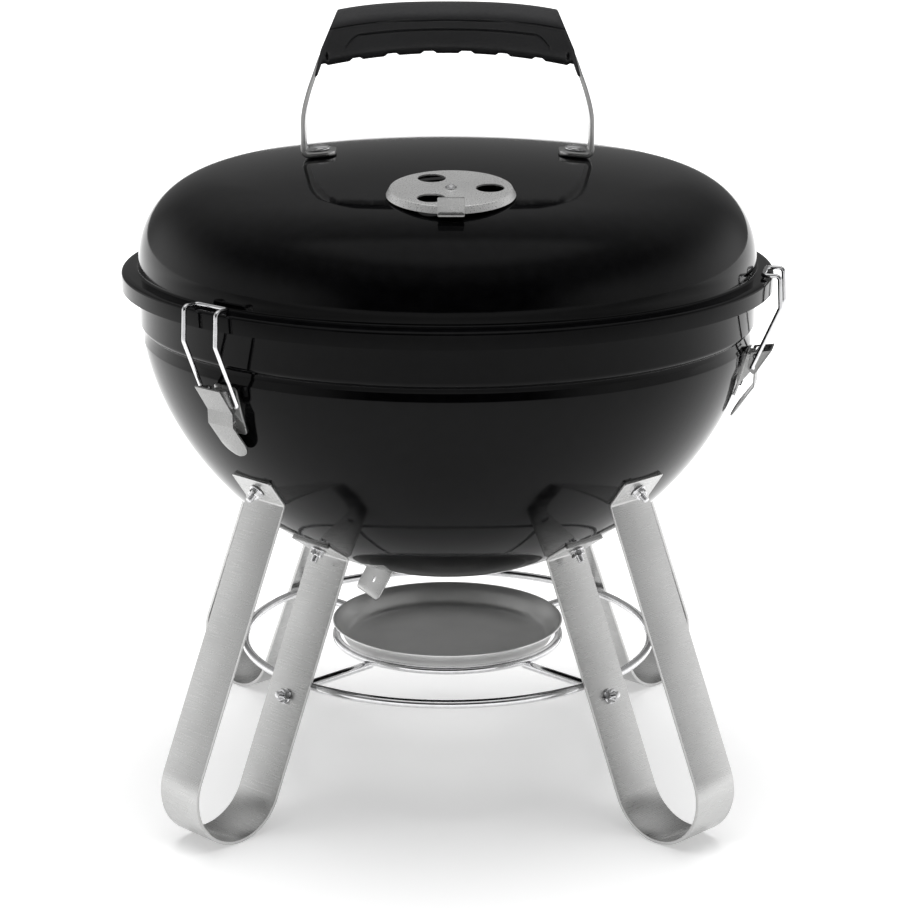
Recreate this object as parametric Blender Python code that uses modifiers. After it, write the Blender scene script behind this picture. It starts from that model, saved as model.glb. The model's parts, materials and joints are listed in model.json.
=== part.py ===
"""Portable kettle charcoal grill: lidded bowl on four U-shaped strip legs, with an ash dish rack below.

Metres, +Z up. The origin is on the ground, on the kettle's upright axis. -Y is the front, +X the right.
An azimuth is an angle from the front towards the right, in degrees.
"""

import math

import bmesh
import bpy
from mathutils import Matrix, Vector

MM = 0.001
GAP = 0.3 * MM              # between pieces that touch
SHEET = 1.2 * MM            # enamelled steel of lid and bowl
TURN_STEPS = 40

# Bowl: an upper band, a step that makes the grate ledge, and a rounded body
BAND_R = 181.5 * MM
BAND_BOTTOM = 279.0 * MM
BOWL_RIM_Z = 308.8 * MM     # underside of the turned-out rim
BOWL_RIM_R = 189.4 * MM     # inside of its hem
BOWL_RIM_HEM = 4.0 * MM
STEP_R = 178.6 * MM
CREASE_R = 179.7 * MM
CREASE_Z = 270.0 * MM
BODY_R = 180.9 * MM
BODY_TOP = 284.1 * MM
BODY_DEPTH = 159.1 * MM
BODY_POWER = 1.77
BOWL_VENT_R = 7.5 * MM
BOWL_VENT_AT = 20.0 * MM

# Lid: a turned-down flange, a rounded shoulder and a gently crowned top
FLANGE_R = 193.0 * MM
FLANGE_Z = 311.6 * MM
SKIRT_BOTTOM = 301.4 * MM
LID_FOOT_R = 182.9 * MM
CROWN_RADIUS = 858.0 * MM
CROWN_TOP = 378.4 * MM
CROWN_EDGE_R = 133.7 * MM

# Top damper
DAMPER_AT = 115.3 * MM      # in front of the lid's axis
DAMPER_X = 1.9 * MM         # and a little to its right
DAMPER_TOP_R = 33.6 * MM
DAMPER_BASE_R = 35.6 * MM
DAMPER_HEIGHT = 4.2 * MM
VENT_R = 7.8 * MM
VENT_AT = 21.3 * MM

# Handle
STRAP_WIDTH = 25.0 * MM
STRAP_THICK = 2.5 * MM
STRAP_FOOT_X = 84.4 * MM    # middle of the strap's upright part
SCREW_X = 75.0 * MM
GRIP_DEPTH = 34.0 * MM

# Legs
LEG_AZIMUTHS = {"front_right": 45, "back_right": 135, "back_left": 225, "front_left": 315}
LEG_WIDTH = 32.0 * MM
LEG_THICK = 2.0 * MM
LEG_LEAN = math.radians(23.9)
TAB_HALF = 9.5 * MM
OUTER_BOLT_R = 150.3 * MM
INNER_BOLT_R = 104.5 * MM
BOLT_R = 2.0 * MM
BOLT_HOLE_R = 2.5 * MM
LEG_BOLT_LENGTH = 12.6 * MM
RACK_BOLT_LENGTH = 12.0 * MM

# Rack and ash dish
RACK_Z = 78.5 * MM
RACK_R = 124.9 * MM
RACK_INNER_R = 68.5 * MM
RACK_WIRE_R = 2.5 * MM
SPOKE_DROP = 4.1 * MM
RACK_BOLT_Z = 71.5 * MM
EYELET_THICK = 2.0 * MM
EYELET_R = 5.2 * MM

# Grates
COOKING_Z = 281.6 * MM
COOKING_R = 176.9 * MM
CHARCOAL_Z = 182.0 * MM
CHARCOAL_R = 125.0 * MM
GRATE_RING_R = 2.5 * MM
GRATE_BAR_R = 2.0 * MM

# Latches
LATCH_AZIMUTHS = {"front_left": -42.5, "right": 78, "back": 198}
LEVER_PIVOT = (185.6 * MM, 264.8 * MM)
BAIL_PIVOT = (183.4 * MM, 258.1 * MM)
LEVER_HALF = 10.0 * MM
LEVER_SHEET = 1.0 * MM
EAR_HALF = 8.4 * MM
BAIL_HALF = 12.7 * MM
BAIL_WIRE_R = 1.3 * MM
BAIL_END = 8.7 * MM         # how far from the middle its turned-in ends stop
PIN_R = 1.5 * MM
RIVET_R = 174.0 * MM        # height of the rivet, as a radius on the bowl

# Bottom damper
LOW_DAMPER_R = 37.0 * MM
LOW_DAMPER_ARM = -64
LOW_DAMPER_FOLD_R = 44.0 * MM


def start_clean():
    for thing in list(bpy.data.objects):
        bpy.data.objects.remove(thing, do_unlink=True)
    groups = []
    for name in ("kettle_grill", "cutters"):
        group = bpy.data.collections.new(name)
        bpy.context.scene.collection.children.link(group)
        groups.append(group)
    return groups


PARTS, CUTTERS = start_clean()


def finish(name, colour, roughness, metallic):
    made = bpy.data.materials.new(name)
    made.use_nodes = True
    shader = made.node_tree.nodes["Principled BSDF"]
    shader.inputs["Base Color"].default_value = (*colour, 1)
    shader.inputs["Roughness"].default_value = roughness
    shader.inputs["Metallic"].default_value = metallic
    return made


ENAMEL = ("enamel", (0.012, 0.012, 0.013), 0.12, 0.0)
STAINLESS = ("stainless", (0.62, 0.62, 0.62), 0.32, 1.0)
PLATED = ("plated", (0.78, 0.78, 0.80), 0.16, 1.0)
PLASTIC = ("plastic", (0.02, 0.02, 0.02), 0.6, 0.0)
GRATE_STEEL = ("grate_steel", (0.45, 0.45, 0.46), 0.3, 1.0)


def place(name, data, look, parent=None, at=(0, 0, 0), facing=None, group=PARTS):
    """A new object, its local +Z along facing, with its own material."""
    piece = bpy.data.objects.new(name, data)
    group.objects.link(piece)
    piece.location = at
    piece.parent = parent
    if facing is not None:
        piece.rotation_euler = Vector(facing).to_track_quat("Z", "Y").to_euler()
    if look:
        data.materials.append(finish(f"{name}_{look[0]}", *look[1:]))
    return piece


def frame_at(name, azimuth):
    """An empty on the kettle's axis whose +X points out along the azimuth."""
    empty = bpy.data.objects.new(name, None)
    PARTS.objects.link(empty)
    empty.rotation_euler = (0, 0, math.radians(azimuth - 90))
    return empty


def hide_cutter(piece):
    piece.hide_render = True
    piece.display_type = "WIRE"


def boolean(piece, tool, operation):
    step = piece.modifiers.new(operation.lower(), "BOOLEAN")
    step.operation = operation
    step.object = tool
    step.solver = "EXACT"


def mesh_from(work, name):
    made = bpy.data.meshes.new(name)
    work.to_mesh(made)
    work.free()
    return made


def smooth(data, angle=35):
    data.shade_smooth()
    data.set_sharp_from_angle(angle=math.radians(angle))


def outline_mesh(name, points):
    """An open chain of edges through (x, z) points in the XZ plane."""
    work = bmesh.new()
    corners = [work.verts.new((x, 0, z)) for x, z in points]
    for a, b in zip(corners, corners[1:]):
        work.edges.new((a, b))
    return mesh_from(work, name)


def turned(name, profile, look, steps=TURN_STEPS, sheet=0.0, **where):
    """A profile turned about local Z. A sheet thickness lies inside the turned surface."""
    piece = place(name, outline_mesh(name, profile), look, **where)
    screw = piece.modifiers.new("turn", "SCREW")
    screw.steps = screw.render_steps = steps
    screw.use_merge_vertices = True
    screw.merge_threshold = 0.01 * MM
    screw.use_smooth_shade = True
    if sheet:
        wall = piece.modifiers.new("wall", "SOLIDIFY")
        wall.thickness = sheet
        wall.offset = -1
        wall.use_even_offset = True
    return piece


def strip_mesh(name, path, width, thick):
    """A flat strip, bent along (x, z) points and as wide as said along Y, as one closed solid."""
    work = bmesh.new()
    rows = []
    for x, z in path:
        rows.append([work.verts.new((x, side * width / 2, z)) for side in (-1, 1)])
    for a, b in zip(rows, rows[1:]):
        work.faces.new((a[0], b[0], b[1], a[1]))
    bmesh.ops.solidify(work, geom=work.faces[:], thickness=thick)
    made = mesh_from(work, name)
    return made


def bent_strip(name, path, width, thick, look, **where):
    """A strip with its thickness shared either side of the path. Its width is one value, or one for each point."""
    work = bmesh.new()
    rows = []
    widths = width if isinstance(width, list) else [width] * len(path)
    for (x, z), wide in zip(path, widths):
        rows.append([work.verts.new((x, side * wide / 2, z)) for side in (-1, 1)])
    for a, b in zip(rows, rows[1:]):
        work.faces.new((a[0], b[0], b[1], a[1]))
    piece = place(name, mesh_from(work, name), look, **where)
    wall = piece.modifiers.new("wall", "SOLIDIFY")
    wall.thickness = thick
    wall.offset = 0
    wall.use_even_offset = True
    return piece


def rounded(points, radius, steps=3):
    """The chain of points with each inner corner replaced by a short arc."""
    made = [points[0]]
    for before, corner, after in zip(points, points[1:], points[2:]):
        a, c, b = Vector(before), Vector(corner), Vector(after)
        u, v = (a - c).normalized(), (b - c).normalized()
        half = math.acos(max(-1, min(1, u.dot(v)))) / 2
        reach = radius / math.tan(half)
        centre = c + (u + v).normalized() * (radius / math.sin(half))
        start, end = c + u * reach - centre, c + v * reach - centre
        for i in range(steps + 1):
            way = start.slerp(end, i / steps).normalized() * radius
            made.append(tuple(centre + way))
    made.append(points[-1])
    return made


def wire(name, points, radius, look=None, closed=False, group=PARTS, sides=2, **where):
    curve = bpy.data.curves.new(name, "CURVE")
    curve.dimensions = "3D"
    curve.bevel_depth = radius
    curve.bevel_resolution = sides
    curve.use_fill_caps = not closed
    line = curve.splines.new("POLY")
    line.points.add(len(points) - 1)
    for spot, point in zip(line.points, points):
        spot.co = (*point, 1)
    line.use_cyclic_u = closed
    return place(name, curve, look, group=group, **where)


def as_mesh(piece, look):
    """The curve's evaluated mesh as an object of the same name."""
    bpy.context.view_layer.update()
    name, group = piece.name, piece.users_collection[0]
    evaluated = piece.evaluated_get(bpy.context.evaluated_depsgraph_get())
    data = bpy.data.meshes.new_from_object(evaluated)
    work = bmesh.new()
    work.from_mesh(data)
    bmesh.ops.remove_doubles(work, verts=work.verts, dist=0.01 * MM)
    work.to_mesh(data)
    work.free()
    place_matrix = piece.matrix_world.copy()
    bpy.data.objects.remove(piece, do_unlink=True)
    made = place(name, data, look, group=group)
    made.matrix_world = place_matrix
    return made


def circle(radius, z, count):
    turns = [math.tau * i / count for i in range(count)]
    return [(radius * math.cos(t), radius * math.sin(t), z) for t in turns]


def rod_mesh(name, rods, sides=8):
    """Straight round rods, each (start, end, radius), in one mesh."""
    work = bmesh.new()
    for start, end, radius in rods:
        a, b = Vector(start), Vector(end)
        turn = (b - a).to_track_quat("Z", "Y").to_matrix().to_4x4()
        bmesh.ops.create_cone(
            work, cap_ends=True, segments=sides, radius1=radius, radius2=radius,
            depth=(b - a).length, matrix=Matrix.Translation((a + b) / 2) @ turn,
        )
    return mesh_from(work, name)


def drill(piece, rods, parent=None, sides=10):
    """Cuts round holes, each (start, end, radius)."""
    name = f"{piece.name}_drill_{len(piece.modifiers)}"
    cutter = place(name, rod_mesh(name, rods, sides), None, parent=parent, group=CUTTERS)
    hide_cutter(cutter)
    boolean(piece, cutter, "DIFFERENCE")


def weld_on(piece, data, parent=None, matrix=None):
    """Joins a closed mesh to the piece."""
    other = place(f"{piece.name}_joined_{len(piece.modifiers)}", data, None, parent=parent, group=CUTTERS)
    if matrix is not None:
        other.matrix_world = matrix
    hide_cutter(other)
    boolean(piece, other, "UNION")


# --- shapes of bowl and lid -------------------------------------------------------------------

def body_z(r):
    return BODY_TOP - BODY_DEPTH * (1 - (r / BODY_R) ** 2) ** (1 / BODY_POWER)


def body_point(r, out=0.0):
    """A point on the bowl's outside at radius r, its outward normal and its upward tangent, in (x, z)."""
    step = 0.5 * MM
    tangent = Vector((2 * step, body_z(r + step) - body_z(r - step))).normalized()
    normal = Vector((tangent.y, -tangent.x))
    return Vector((r, body_z(r))) + normal * out, normal, tangent


def bowl_profile():
    rim = [
        (BOWL_RIM_R, BOWL_RIM_Z - BOWL_RIM_HEM),
        (BOWL_RIM_R, BOWL_RIM_Z),
        (BAND_R, BOWL_RIM_Z),
        (BAND_R, BAND_BOTTOM + 2 * MM),
        (BAND_R - 0.8 * MM, BAND_BOTTOM),
        (STEP_R, BAND_BOTTOM - 1.5 * MM),
        (CREASE_R, CREASE_Z),
    ]
    radii = [178.5, 175, 169, 161, 150, 137, 121, 103, 82, 58, 32]
    return rim + [(r * MM, body_z(r * MM)) for r in radii] + [(0, body_z(0))]


def crown_z(r):
    return CROWN_TOP - CROWN_RADIUS + math.sqrt(CROWN_RADIUS ** 2 - r ** 2)


def lid_profile(shoulder_steps=7):
    crown = [(r * MM, crown_z(r * MM)) for r in (0, 30, 60, 90, 115)]
    edge = Vector((CROWN_EDGE_R, crown_z(CROWN_EDGE_R)))
    slope = math.asin(CROWN_EDGE_R / CROWN_RADIUS)
    foot = Vector((LID_FOOT_R, FLANGE_Z + 1.5 * MM))
    pull_a = edge + Vector((math.cos(slope), -math.sin(slope))) * 29.2 * MM
    pull_b = foot + Vector((0, 32.1 * MM))
    shoulder = []
    for i in range(shoulder_steps + 1):
        t = i / shoulder_steps
        spot = (1 - t) ** 3 * edge + 3 * (1 - t) ** 2 * t * pull_a + 3 * (1 - t) * t * t * pull_b + t ** 3 * foot
        shoulder.append(tuple(spot))
    flange = [
        (LID_FOOT_R + 1.5 * MM, FLANGE_Z),
        (FLANGE_R - 1.5 * MM, FLANGE_Z),
        (FLANGE_R, FLANGE_Z - 1.5 * MM),
        (FLANGE_R, SKIRT_BOTTOM),
    ]
    return crown + shoulder + flange


# --- fasteners --------------------------------------------------------------------------------

def bolt(name, parent, head_at, along, length, head_r=4.2 * MM, head_h=2.4 * MM, shank_r=BOLT_R):
    """A domed-head bolt. head_at is under its head, along points to its thread end."""
    profile = [
        (0, head_h), (head_r * 0.6, head_h * 0.85), (head_r, head_h * 0.25), (head_r, 0),
        (shank_r, 0), (shank_r, -length), (0, -length),
    ]
    facing = -Vector(along)
    return turned(name, profile, PLATED, steps=8, parent=parent, at=head_at, facing=facing)


def nut(name, parent, seat, along, across=7.0 * MM, height=3.2 * MM, bore=BOLT_HOLE_R, washer_r=4.6 * MM):
    """A hexagon nut with its washer, as one solid. seat is the washer's face."""
    work = bmesh.new()
    washer = 1.0 * MM
    bmesh.ops.create_cone(
        work, cap_ends=True, segments=6, radius1=across / math.sqrt(3), radius2=across / math.sqrt(3),
        depth=height, matrix=Matrix.Translation((0, 0, washer + height / 2 - 0.05 * MM)),
    )
    piece = place(name, mesh_from(work, name), PLATED, parent=parent, at=seat, facing=along)
    base = rod_mesh(f"{name}_washer", [((0, 0, 0), (0, 0, washer), washer_r)], sides=12)
    collar = place(f"{name}_washer", base, None, parent=parent, at=seat, facing=along, group=CUTTERS)
    hide_cutter(collar)
    boolean(piece, collar, "UNION")
    hole = rod_mesh(f"{name}_bore", [((0, 0, -MM), (0, 0, 8 * MM), bore)], sides=8)
    bore_cutter = place(f"{name}_bore", hole, None, parent=parent, at=seat, facing=along, group=CUTTERS)
    hide_cutter(bore_cutter)
    boolean(piece, bore_cutter, "DIFFERENCE")
    return piece


def flat(point, y=0.0):
    """An (x, z) point as a 3D one."""
    return Vector((point[0], y, point[1]))


# --- bowl, legs and rack ----------------------------------------------------------------------

def make_bowl():
    bowl = turned("bowl", bowl_profile(), ENAMEL, sheet=SHEET)
    rods = []
    for angle in (0, 120, 240):
        t = math.radians(angle + LOW_DAMPER_ARM)
        x, y = BOWL_VENT_AT * math.sin(t), -BOWL_VENT_AT * math.cos(t)
        rods.append(((x, y, 115 * MM), (x, y, 140 * MM), BOWL_VENT_R))
    rods.append(((0, 0, 0.115), (0, 0, 0.140), BOLT_HOLE_R))
    drill(bowl, rods)
    return bowl


def leg_path():
    """The strip's middle line in (x, z): outer tab, outer run, U-bend on the ground, inner run, inner tab."""
    down = Vector((math.sin(LEG_LEAN), -math.cos(LEG_LEAN)))
    side = Vector((math.cos(LEG_LEAN), math.sin(LEG_LEAN)))
    out = GAP + LEG_THICK / 2
    outer_mid, _, outer_up = body_point(OUTER_BOLT_R, out)
    inner_mid, _, inner_up = body_point(INNER_BOLT_R, out)
    outer_fold = outer_mid - outer_up * TAB_HALF
    inner_fold = inner_mid - inner_up * TAB_HALF
    bend_r = (outer_fold - inner_fold).dot(side) / 2
    flat_half = math.radians(9)
    centre_z = (bend_r + LEG_THICK / 2) * math.cos(flat_half)
    along = (outer_fold.y - centre_z - bend_r * side.y) / math.cos(LEG_LEAN)
    centre = outer_fold + down * along - side * bend_r
    angles = [LEG_LEAN - i * (math.pi / 2 + LEG_LEAN - flat_half) / 6 for i in range(7)]
    last = -math.pi + LEG_LEAN
    first = -math.pi / 2 - flat_half
    angles += [first + i * (last - first) / 3 for i in range(4)]
    bend = [centre + Vector((math.cos(a), math.sin(a))) * bend_r for a in angles]
    outer_end = outer_mid + outer_up * TAB_HALF
    inner_end = inner_mid + inner_up * TAB_HALF
    top = rounded([tuple(outer_end), tuple(outer_fold), tuple(bend[0])], 2.5 * MM)
    tail = rounded([tuple(bend[-1]), tuple(inner_fold), tuple(inner_end)], 2.5 * MM)
    return top[:-1] + [tuple(p) for p in bend] + tail[1:], inner_fold


def rack_bolt_line():
    """Where the rack's bolt crosses the inner run's middle, and the way its thread points."""
    _, inner_fold = leg_path()
    side = Vector((math.cos(LEG_LEAN), math.sin(LEG_LEAN)))
    run = (inner_fold.y - RACK_BOLT_Z) / math.cos(LEG_LEAN)
    return inner_fold + Vector((math.sin(LEG_LEAN), -math.cos(LEG_LEAN))) * run, side


def make_legs(bowl):
    path, _ = leg_path()
    cross, side = rack_bolt_line()
    for where, azimuth in LEG_AZIMUTHS.items():
        frame = frame_at(f"leg_frame_{where}", azimuth)
        leg = bent_strip(f"leg_{where}", path, LEG_WIDTH, LEG_THICK, STAINLESS, parent=frame)
        holes = [(flat(cross - side * 5 * MM), flat(cross + side * 5 * MM), BOLT_HOLE_R)]
        for spot, radius in (("outer", OUTER_BOLT_R), ("inner", INNER_BOLT_R)):
            surface, normal, _ = body_point(radius)
            hole = (flat(surface - normal * 5 * MM), flat(surface + normal * 8 * MM), BOLT_HOLE_R)
            holes.append(hole)
            drill(bowl, [hole], parent=frame)
            inside = surface - normal * (SHEET + GAP + 0.4 * MM)
            outside = surface + normal * (2 * GAP + LEG_THICK)
            bolt(f"leg_bolt_{where}_{spot}", frame, flat(inside), flat(normal), LEG_BOLT_LENGTH)
            nut(f"leg_nut_{where}_{spot}", frame, flat(outside), flat(normal))
        drill(leg, holes, parent=frame)
        head = cross - side * (LEG_THICK / 2 + 2 * GAP + EYELET_THICK)
        seat = cross + side * (LEG_THICK / 2 + GAP)
        bolt(f"rack_bolt_{where}", frame, flat(head), flat(side), RACK_BOLT_LENGTH, head_r=3.6 * MM)
        nut(f"rack_nut_{where}", frame, flat(seat), flat(side))


def make_rack():
    """Two wire rings on four spokes, each spoke with an eyelet for the leg's bolt, welded into one frame."""
    rack = as_mesh(wire("rack", circle(RACK_R, RACK_Z, 40), RACK_WIRE_R, closed=True, sides=1), STAINLESS)
    inner = wire("rack_inner_ring", circle(RACK_INNER_R, RACK_Z, 32), RACK_WIRE_R, closed=True, sides=1, group=CUTTERS)
    inner = as_mesh(inner, None)
    hide_cutter(inner)
    cross, side = rack_bolt_line()
    near = cross - side * (LEG_THICK / 2 + GAP + EYELET_THICK)
    far = cross - side * (LEG_THICK / 2 + GAP)
    for azimuth in LEG_AZIMUTHS.values():
        turn = Matrix.Rotation(math.radians(azimuth - 90), 4, "Z")
        z = RACK_Z - SPOKE_DROP
        spoke = rod_mesh("spoke", [((RACK_INNER_R - 2 * MM, 0, z), (near.x - 1.5 * MM, 0, z), RACK_WIRE_R)])
        weld_on(rack, spoke, matrix=turn)
        eyelet = rod_mesh("eyelet", [(flat(near), flat(far), EYELET_R)], sides=14)
        weld_on(rack, eyelet, matrix=turn)
    boolean(rack, inner, "UNION")
    holes, heads = [], []
    for azimuth in LEG_AZIMUTHS.values():
        turn = Matrix.Rotation(math.radians(azimuth - 90), 4, "Z")
        start, end = turn @ flat(near - side * 6 * MM), turn @ flat(far + side * 4 * MM)
        holes.append((start, end, BOLT_HOLE_R))
        heads.append((turn @ flat(near - side * 9 * MM), turn @ flat(near - side * 0.05 * MM), 4.1 * MM))
    drill(rack, heads)
    drill(rack, holes)


def make_ash_dish():
    outside = [
        (70.7, 88.6), (70.7, 87.4), (69.3, 87.0), (67.4, 84.6), (65.4, 81.2), (63.4, 77.4), (61.0, 75.0),
        (58.0, 74.3), (0, 74.3),
    ]
    inside = [
        (0, 75.4), (57.8, 75.4), (60.4, 76.0), (62.5, 78.0), (64.4, 81.6), (66.5, 85.2), (68.8, 88.0),
        (69.8, 88.6),
    ]
    profile = [(r * MM, z * MM) for r, z in outside + inside]
    profile.append(profile[0])
    turned("ash_dish", profile, STAINLESS, steps=32)


# --- grates -----------------------------------------------------------------------------------

def make_grate(name, radius, z, spacing):
    """A ring with parallel bars level with it and two cross bars under them."""
    grate = as_mesh(wire(name, circle(radius, z, 40), GRATE_RING_R, closed=True, sides=1), GRATE_STEEL)
    bars = []
    count = int((radius - 6 * MM) // spacing)
    for i in range(-count, count + 1):
        x = i * spacing
        half = math.sqrt(radius ** 2 - x ** 2) - 0.6 * MM
        bars.append(((x, -half, z), (x, half, z), GRATE_BAR_R))
    weld_on(grate, rod_mesh(f"{name}_bars", bars, sides=6))
    low = z - 3.3 * MM
    ties = []
    for y in (-radius * 0.45, radius * 0.45):
        half = math.sqrt(radius ** 2 - y ** 2) - 1.2 * MM
        ties.append(((-half, y, low), (half, y, low), GRATE_BAR_R))
    weld_on(grate, rod_mesh(f"{name}_ties", ties, sides=6))


# --- lid, damper and handle -------------------------------------------------------------------

def damper_frame():
    """The point on the lid's top under the damper, and the lid's slope there."""
    return Vector((DAMPER_X, -DAMPER_AT, crown_z(DAMPER_AT))), math.asin(DAMPER_AT / CROWN_RADIUS)


def make_lid():
    lid = turned("lid", lid_profile(), ENAMEL, sheet=SHEET)
    spot, slope = damper_frame()
    up = Vector((0, -math.sin(slope), math.cos(slope)))
    back = Vector((0, math.cos(slope), math.sin(slope)))
    rods = [(spot - up * 6 * MM, spot + up * 4 * MM, BOLT_HOLE_R)]
    for i in range(3):
        t = math.tau * i / 3
        centre = spot + Vector((1, 0, 0)) * VENT_AT * math.cos(t) + back * VENT_AT * math.sin(t)
        rods.append((centre - up * 6 * MM, centre + up * 4 * MM, VENT_R - 0.4 * MM))
    for side in (-1, 1):
        x = side * SCREW_X
        z = crown_z(SCREW_X)
        lean = Vector((side * SCREW_X / CROWN_RADIUS, 0, 1)).normalized()
        foot = Vector((x, 0, z))
        rods.append((foot - lean * 6 * MM, foot + lean * 6 * MM, BOLT_HOLE_R))
    drill(lid, rods, sides=16)


def make_top_damper():
    spot, slope = damper_frame()
    tilt = bpy.data.objects.new("top_damper_axis", None)
    PARTS.objects.link(tilt)
    tilt.location = spot
    tilt.rotation_euler = (slope, 0, 0)
    sheet = 0.9 * MM
    sag = DAMPER_BASE_R ** 2 / (2 * CROWN_RADIUS)
    base = GAP - sag * 0.2
    outer = [(0, DAMPER_HEIGHT), (DAMPER_TOP_R - MM, DAMPER_HEIGHT), (DAMPER_TOP_R, DAMPER_HEIGHT - 0.5 * MM),
             (DAMPER_BASE_R, base + 0.2 * MM)]
    inner = [(DAMPER_BASE_R - 0.9 * MM, base + 0.2 * MM), (DAMPER_TOP_R - 0.9 * MM, DAMPER_HEIGHT - sheet - 0.4 * MM),
             (DAMPER_TOP_R - 1.6 * MM, DAMPER_HEIGHT - sheet), (0, DAMPER_HEIGHT - sheet)]
    damper = turned("top_damper", outer + inner, STAINLESS, steps=40, parent=tilt)
    edge = DAMPER_TOP_R
    tab = [
        (-(edge - 2.0 * MM), DAMPER_HEIGHT - 0.4 * MM),
        (-(edge + 1.8 * MM), DAMPER_HEIGHT + 0.1 * MM),
        (-(edge + 2.2 * MM), DAMPER_HEIGHT + 6.6 * MM),
    ]
    turn = Matrix.Translation(spot) @ Matrix.Rotation(slope, 4, "X") @ Matrix.Rotation(math.radians(90), 4, "Z")
    weld_on(damper, strip_mesh("damper_tab", rounded(tab, MM, 2), 14.6 * MM, 0.9 * MM), matrix=turn)
    rods = [((0, 0, 0), (0, 0, 8 * MM), BOLT_HOLE_R)]
    for i in range(3):
        t = math.tau * i / 3
        x, y = VENT_AT * math.cos(t), VENT_AT * math.sin(t)
        rods.append(((x, y, 0), (x, y, 8 * MM), VENT_R))
    drill(damper, rods, parent=tilt, sides=16)
    rivet = [
        (0, DAMPER_HEIGHT + 3.0 * MM), (0.8 * MM, DAMPER_HEIGHT + 1.6 * MM), (3.0 * MM, DAMPER_HEIGHT + 0.8 * MM),
        (3.0 * MM, DAMPER_HEIGHT + GAP), (BOLT_R, DAMPER_HEIGHT + GAP), (BOLT_R, -SHEET - GAP - 0.2 * MM),
        (4.0 * MM, -SHEET - GAP - 0.2 * MM), (3.6 * MM, -SHEET - 1.6 * MM), (0, -SHEET - 2.0 * MM),
    ]
    turned("top_damper_rivet", rivet, PLATED, steps=12, parent=tilt)


def strap_path():
    """Half the strap's middle line from the foot's end to the middle of the grip, in (x, z)."""
    foot_lift = GAP + STRAP_THICK / 2 + 0.35 * MM
    end_x = SCREW_X - 9.5 * MM
    corner_x = STRAP_FOOT_X
    return [
        (end_x, crown_z(end_x) + foot_lift),
        (corner_x, crown_z(corner_x) + foot_lift),
        (84.0 * MM, 400.0 * MM),
        (77.9 * MM, 424.0 * MM),
        (71.0 * MM, 446.5 * MM),
        (30.0 * MM, 451.5 * MM),
        (0.0, 452.3 * MM),
    ]


def full_strap(points):
    smooth_half = rounded(points, 4 * MM, 2)
    return smooth_half + [(-x, z) for x, z in reversed(smooth_half[:-1])]


def make_handle():
    path = full_strap(strap_path())
    strap = bent_strip("handle_strap", path, STRAP_WIDTH, STRAP_THICK, STAINLESS)
    holes = []
    for side, where in ((-1, "left"), (1, "right")):
        lean = Vector((side * SCREW_X / CROWN_RADIUS, 0, 1)).normalized()
        foot = Vector((side * SCREW_X, 0, crown_z(SCREW_X)))
        holes.append((foot - lean * 2 * MM, foot + lean * 8 * MM, BOLT_HOLE_R))
        head = foot + lean * (STRAP_THICK + 4 * GAP + 0.1 * MM)
        bolt(f"handle_screw_{where}", None, head, -lean, 12.5 * MM, head_r=6.3 * MM, head_h=2.6 * MM)
        seat = foot - lean * (SHEET + GAP + 0.1 * MM)
        nut(f"handle_nut_{where}", None, seat, -lean)
    drill(strap, holes, sides=10)
    make_grip(path)


def grip_shape(x):
    """The grip's lowest and highest z at x: an arch, thinner towards its ends."""
    t = abs(x) / (74 * MM)
    low = 437.5 * MM - 8.0 * MM * t ** 2
    high = 464.3 * MM - 5.0 * MM * t ** 3 - 2.0 * MM * t ** 2
    return low, high


def make_grip(path):
    """A moulded arch over the strap's top, with a channel that the strap runs through."""
    work = bmesh.new()
    bmesh.ops.create_cube(work, size=1)
    long_edges = [e for e in work.edges if abs(e.verts[0].co.x - e.verts[1].co.x) > 0.5]
    bmesh.ops.subdivide_edges(work, edges=long_edges, cuts=11, use_grid_fill=True)
    for corner in work.verts:
        x, y, z = corner.co
        top = z > 0
        long_x = x * 2 * (65 if top else 75) * MM
        low, high = grip_shape(long_x)
        half = GRIP_DEPTH / 2 * (0.84 if top else 1.0)
        corner.co = (long_x, y * 2 * half, high if top else low)
    grip = place("handle_grip", mesh_from(work, "handle_grip"), PLASTIC)
    edges = grip.modifiers.new("edges", "BEVEL")
    edges.width = 3.5 * MM
    edges.segments = 2
    edges.limit_method = "ANGLE"
    edges.angle_limit = math.radians(40)
    cutter = bent_strip("grip_channel", path, STRAP_WIDTH + 2 * GAP, STRAP_THICK + 3 * GAP, None, group=CUTTERS)
    hide_cutter(cutter)
    boolean(grip, cutter, "DIFFERENCE")


# --- bottom damper ----------------------------------------------------------------------------

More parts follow.
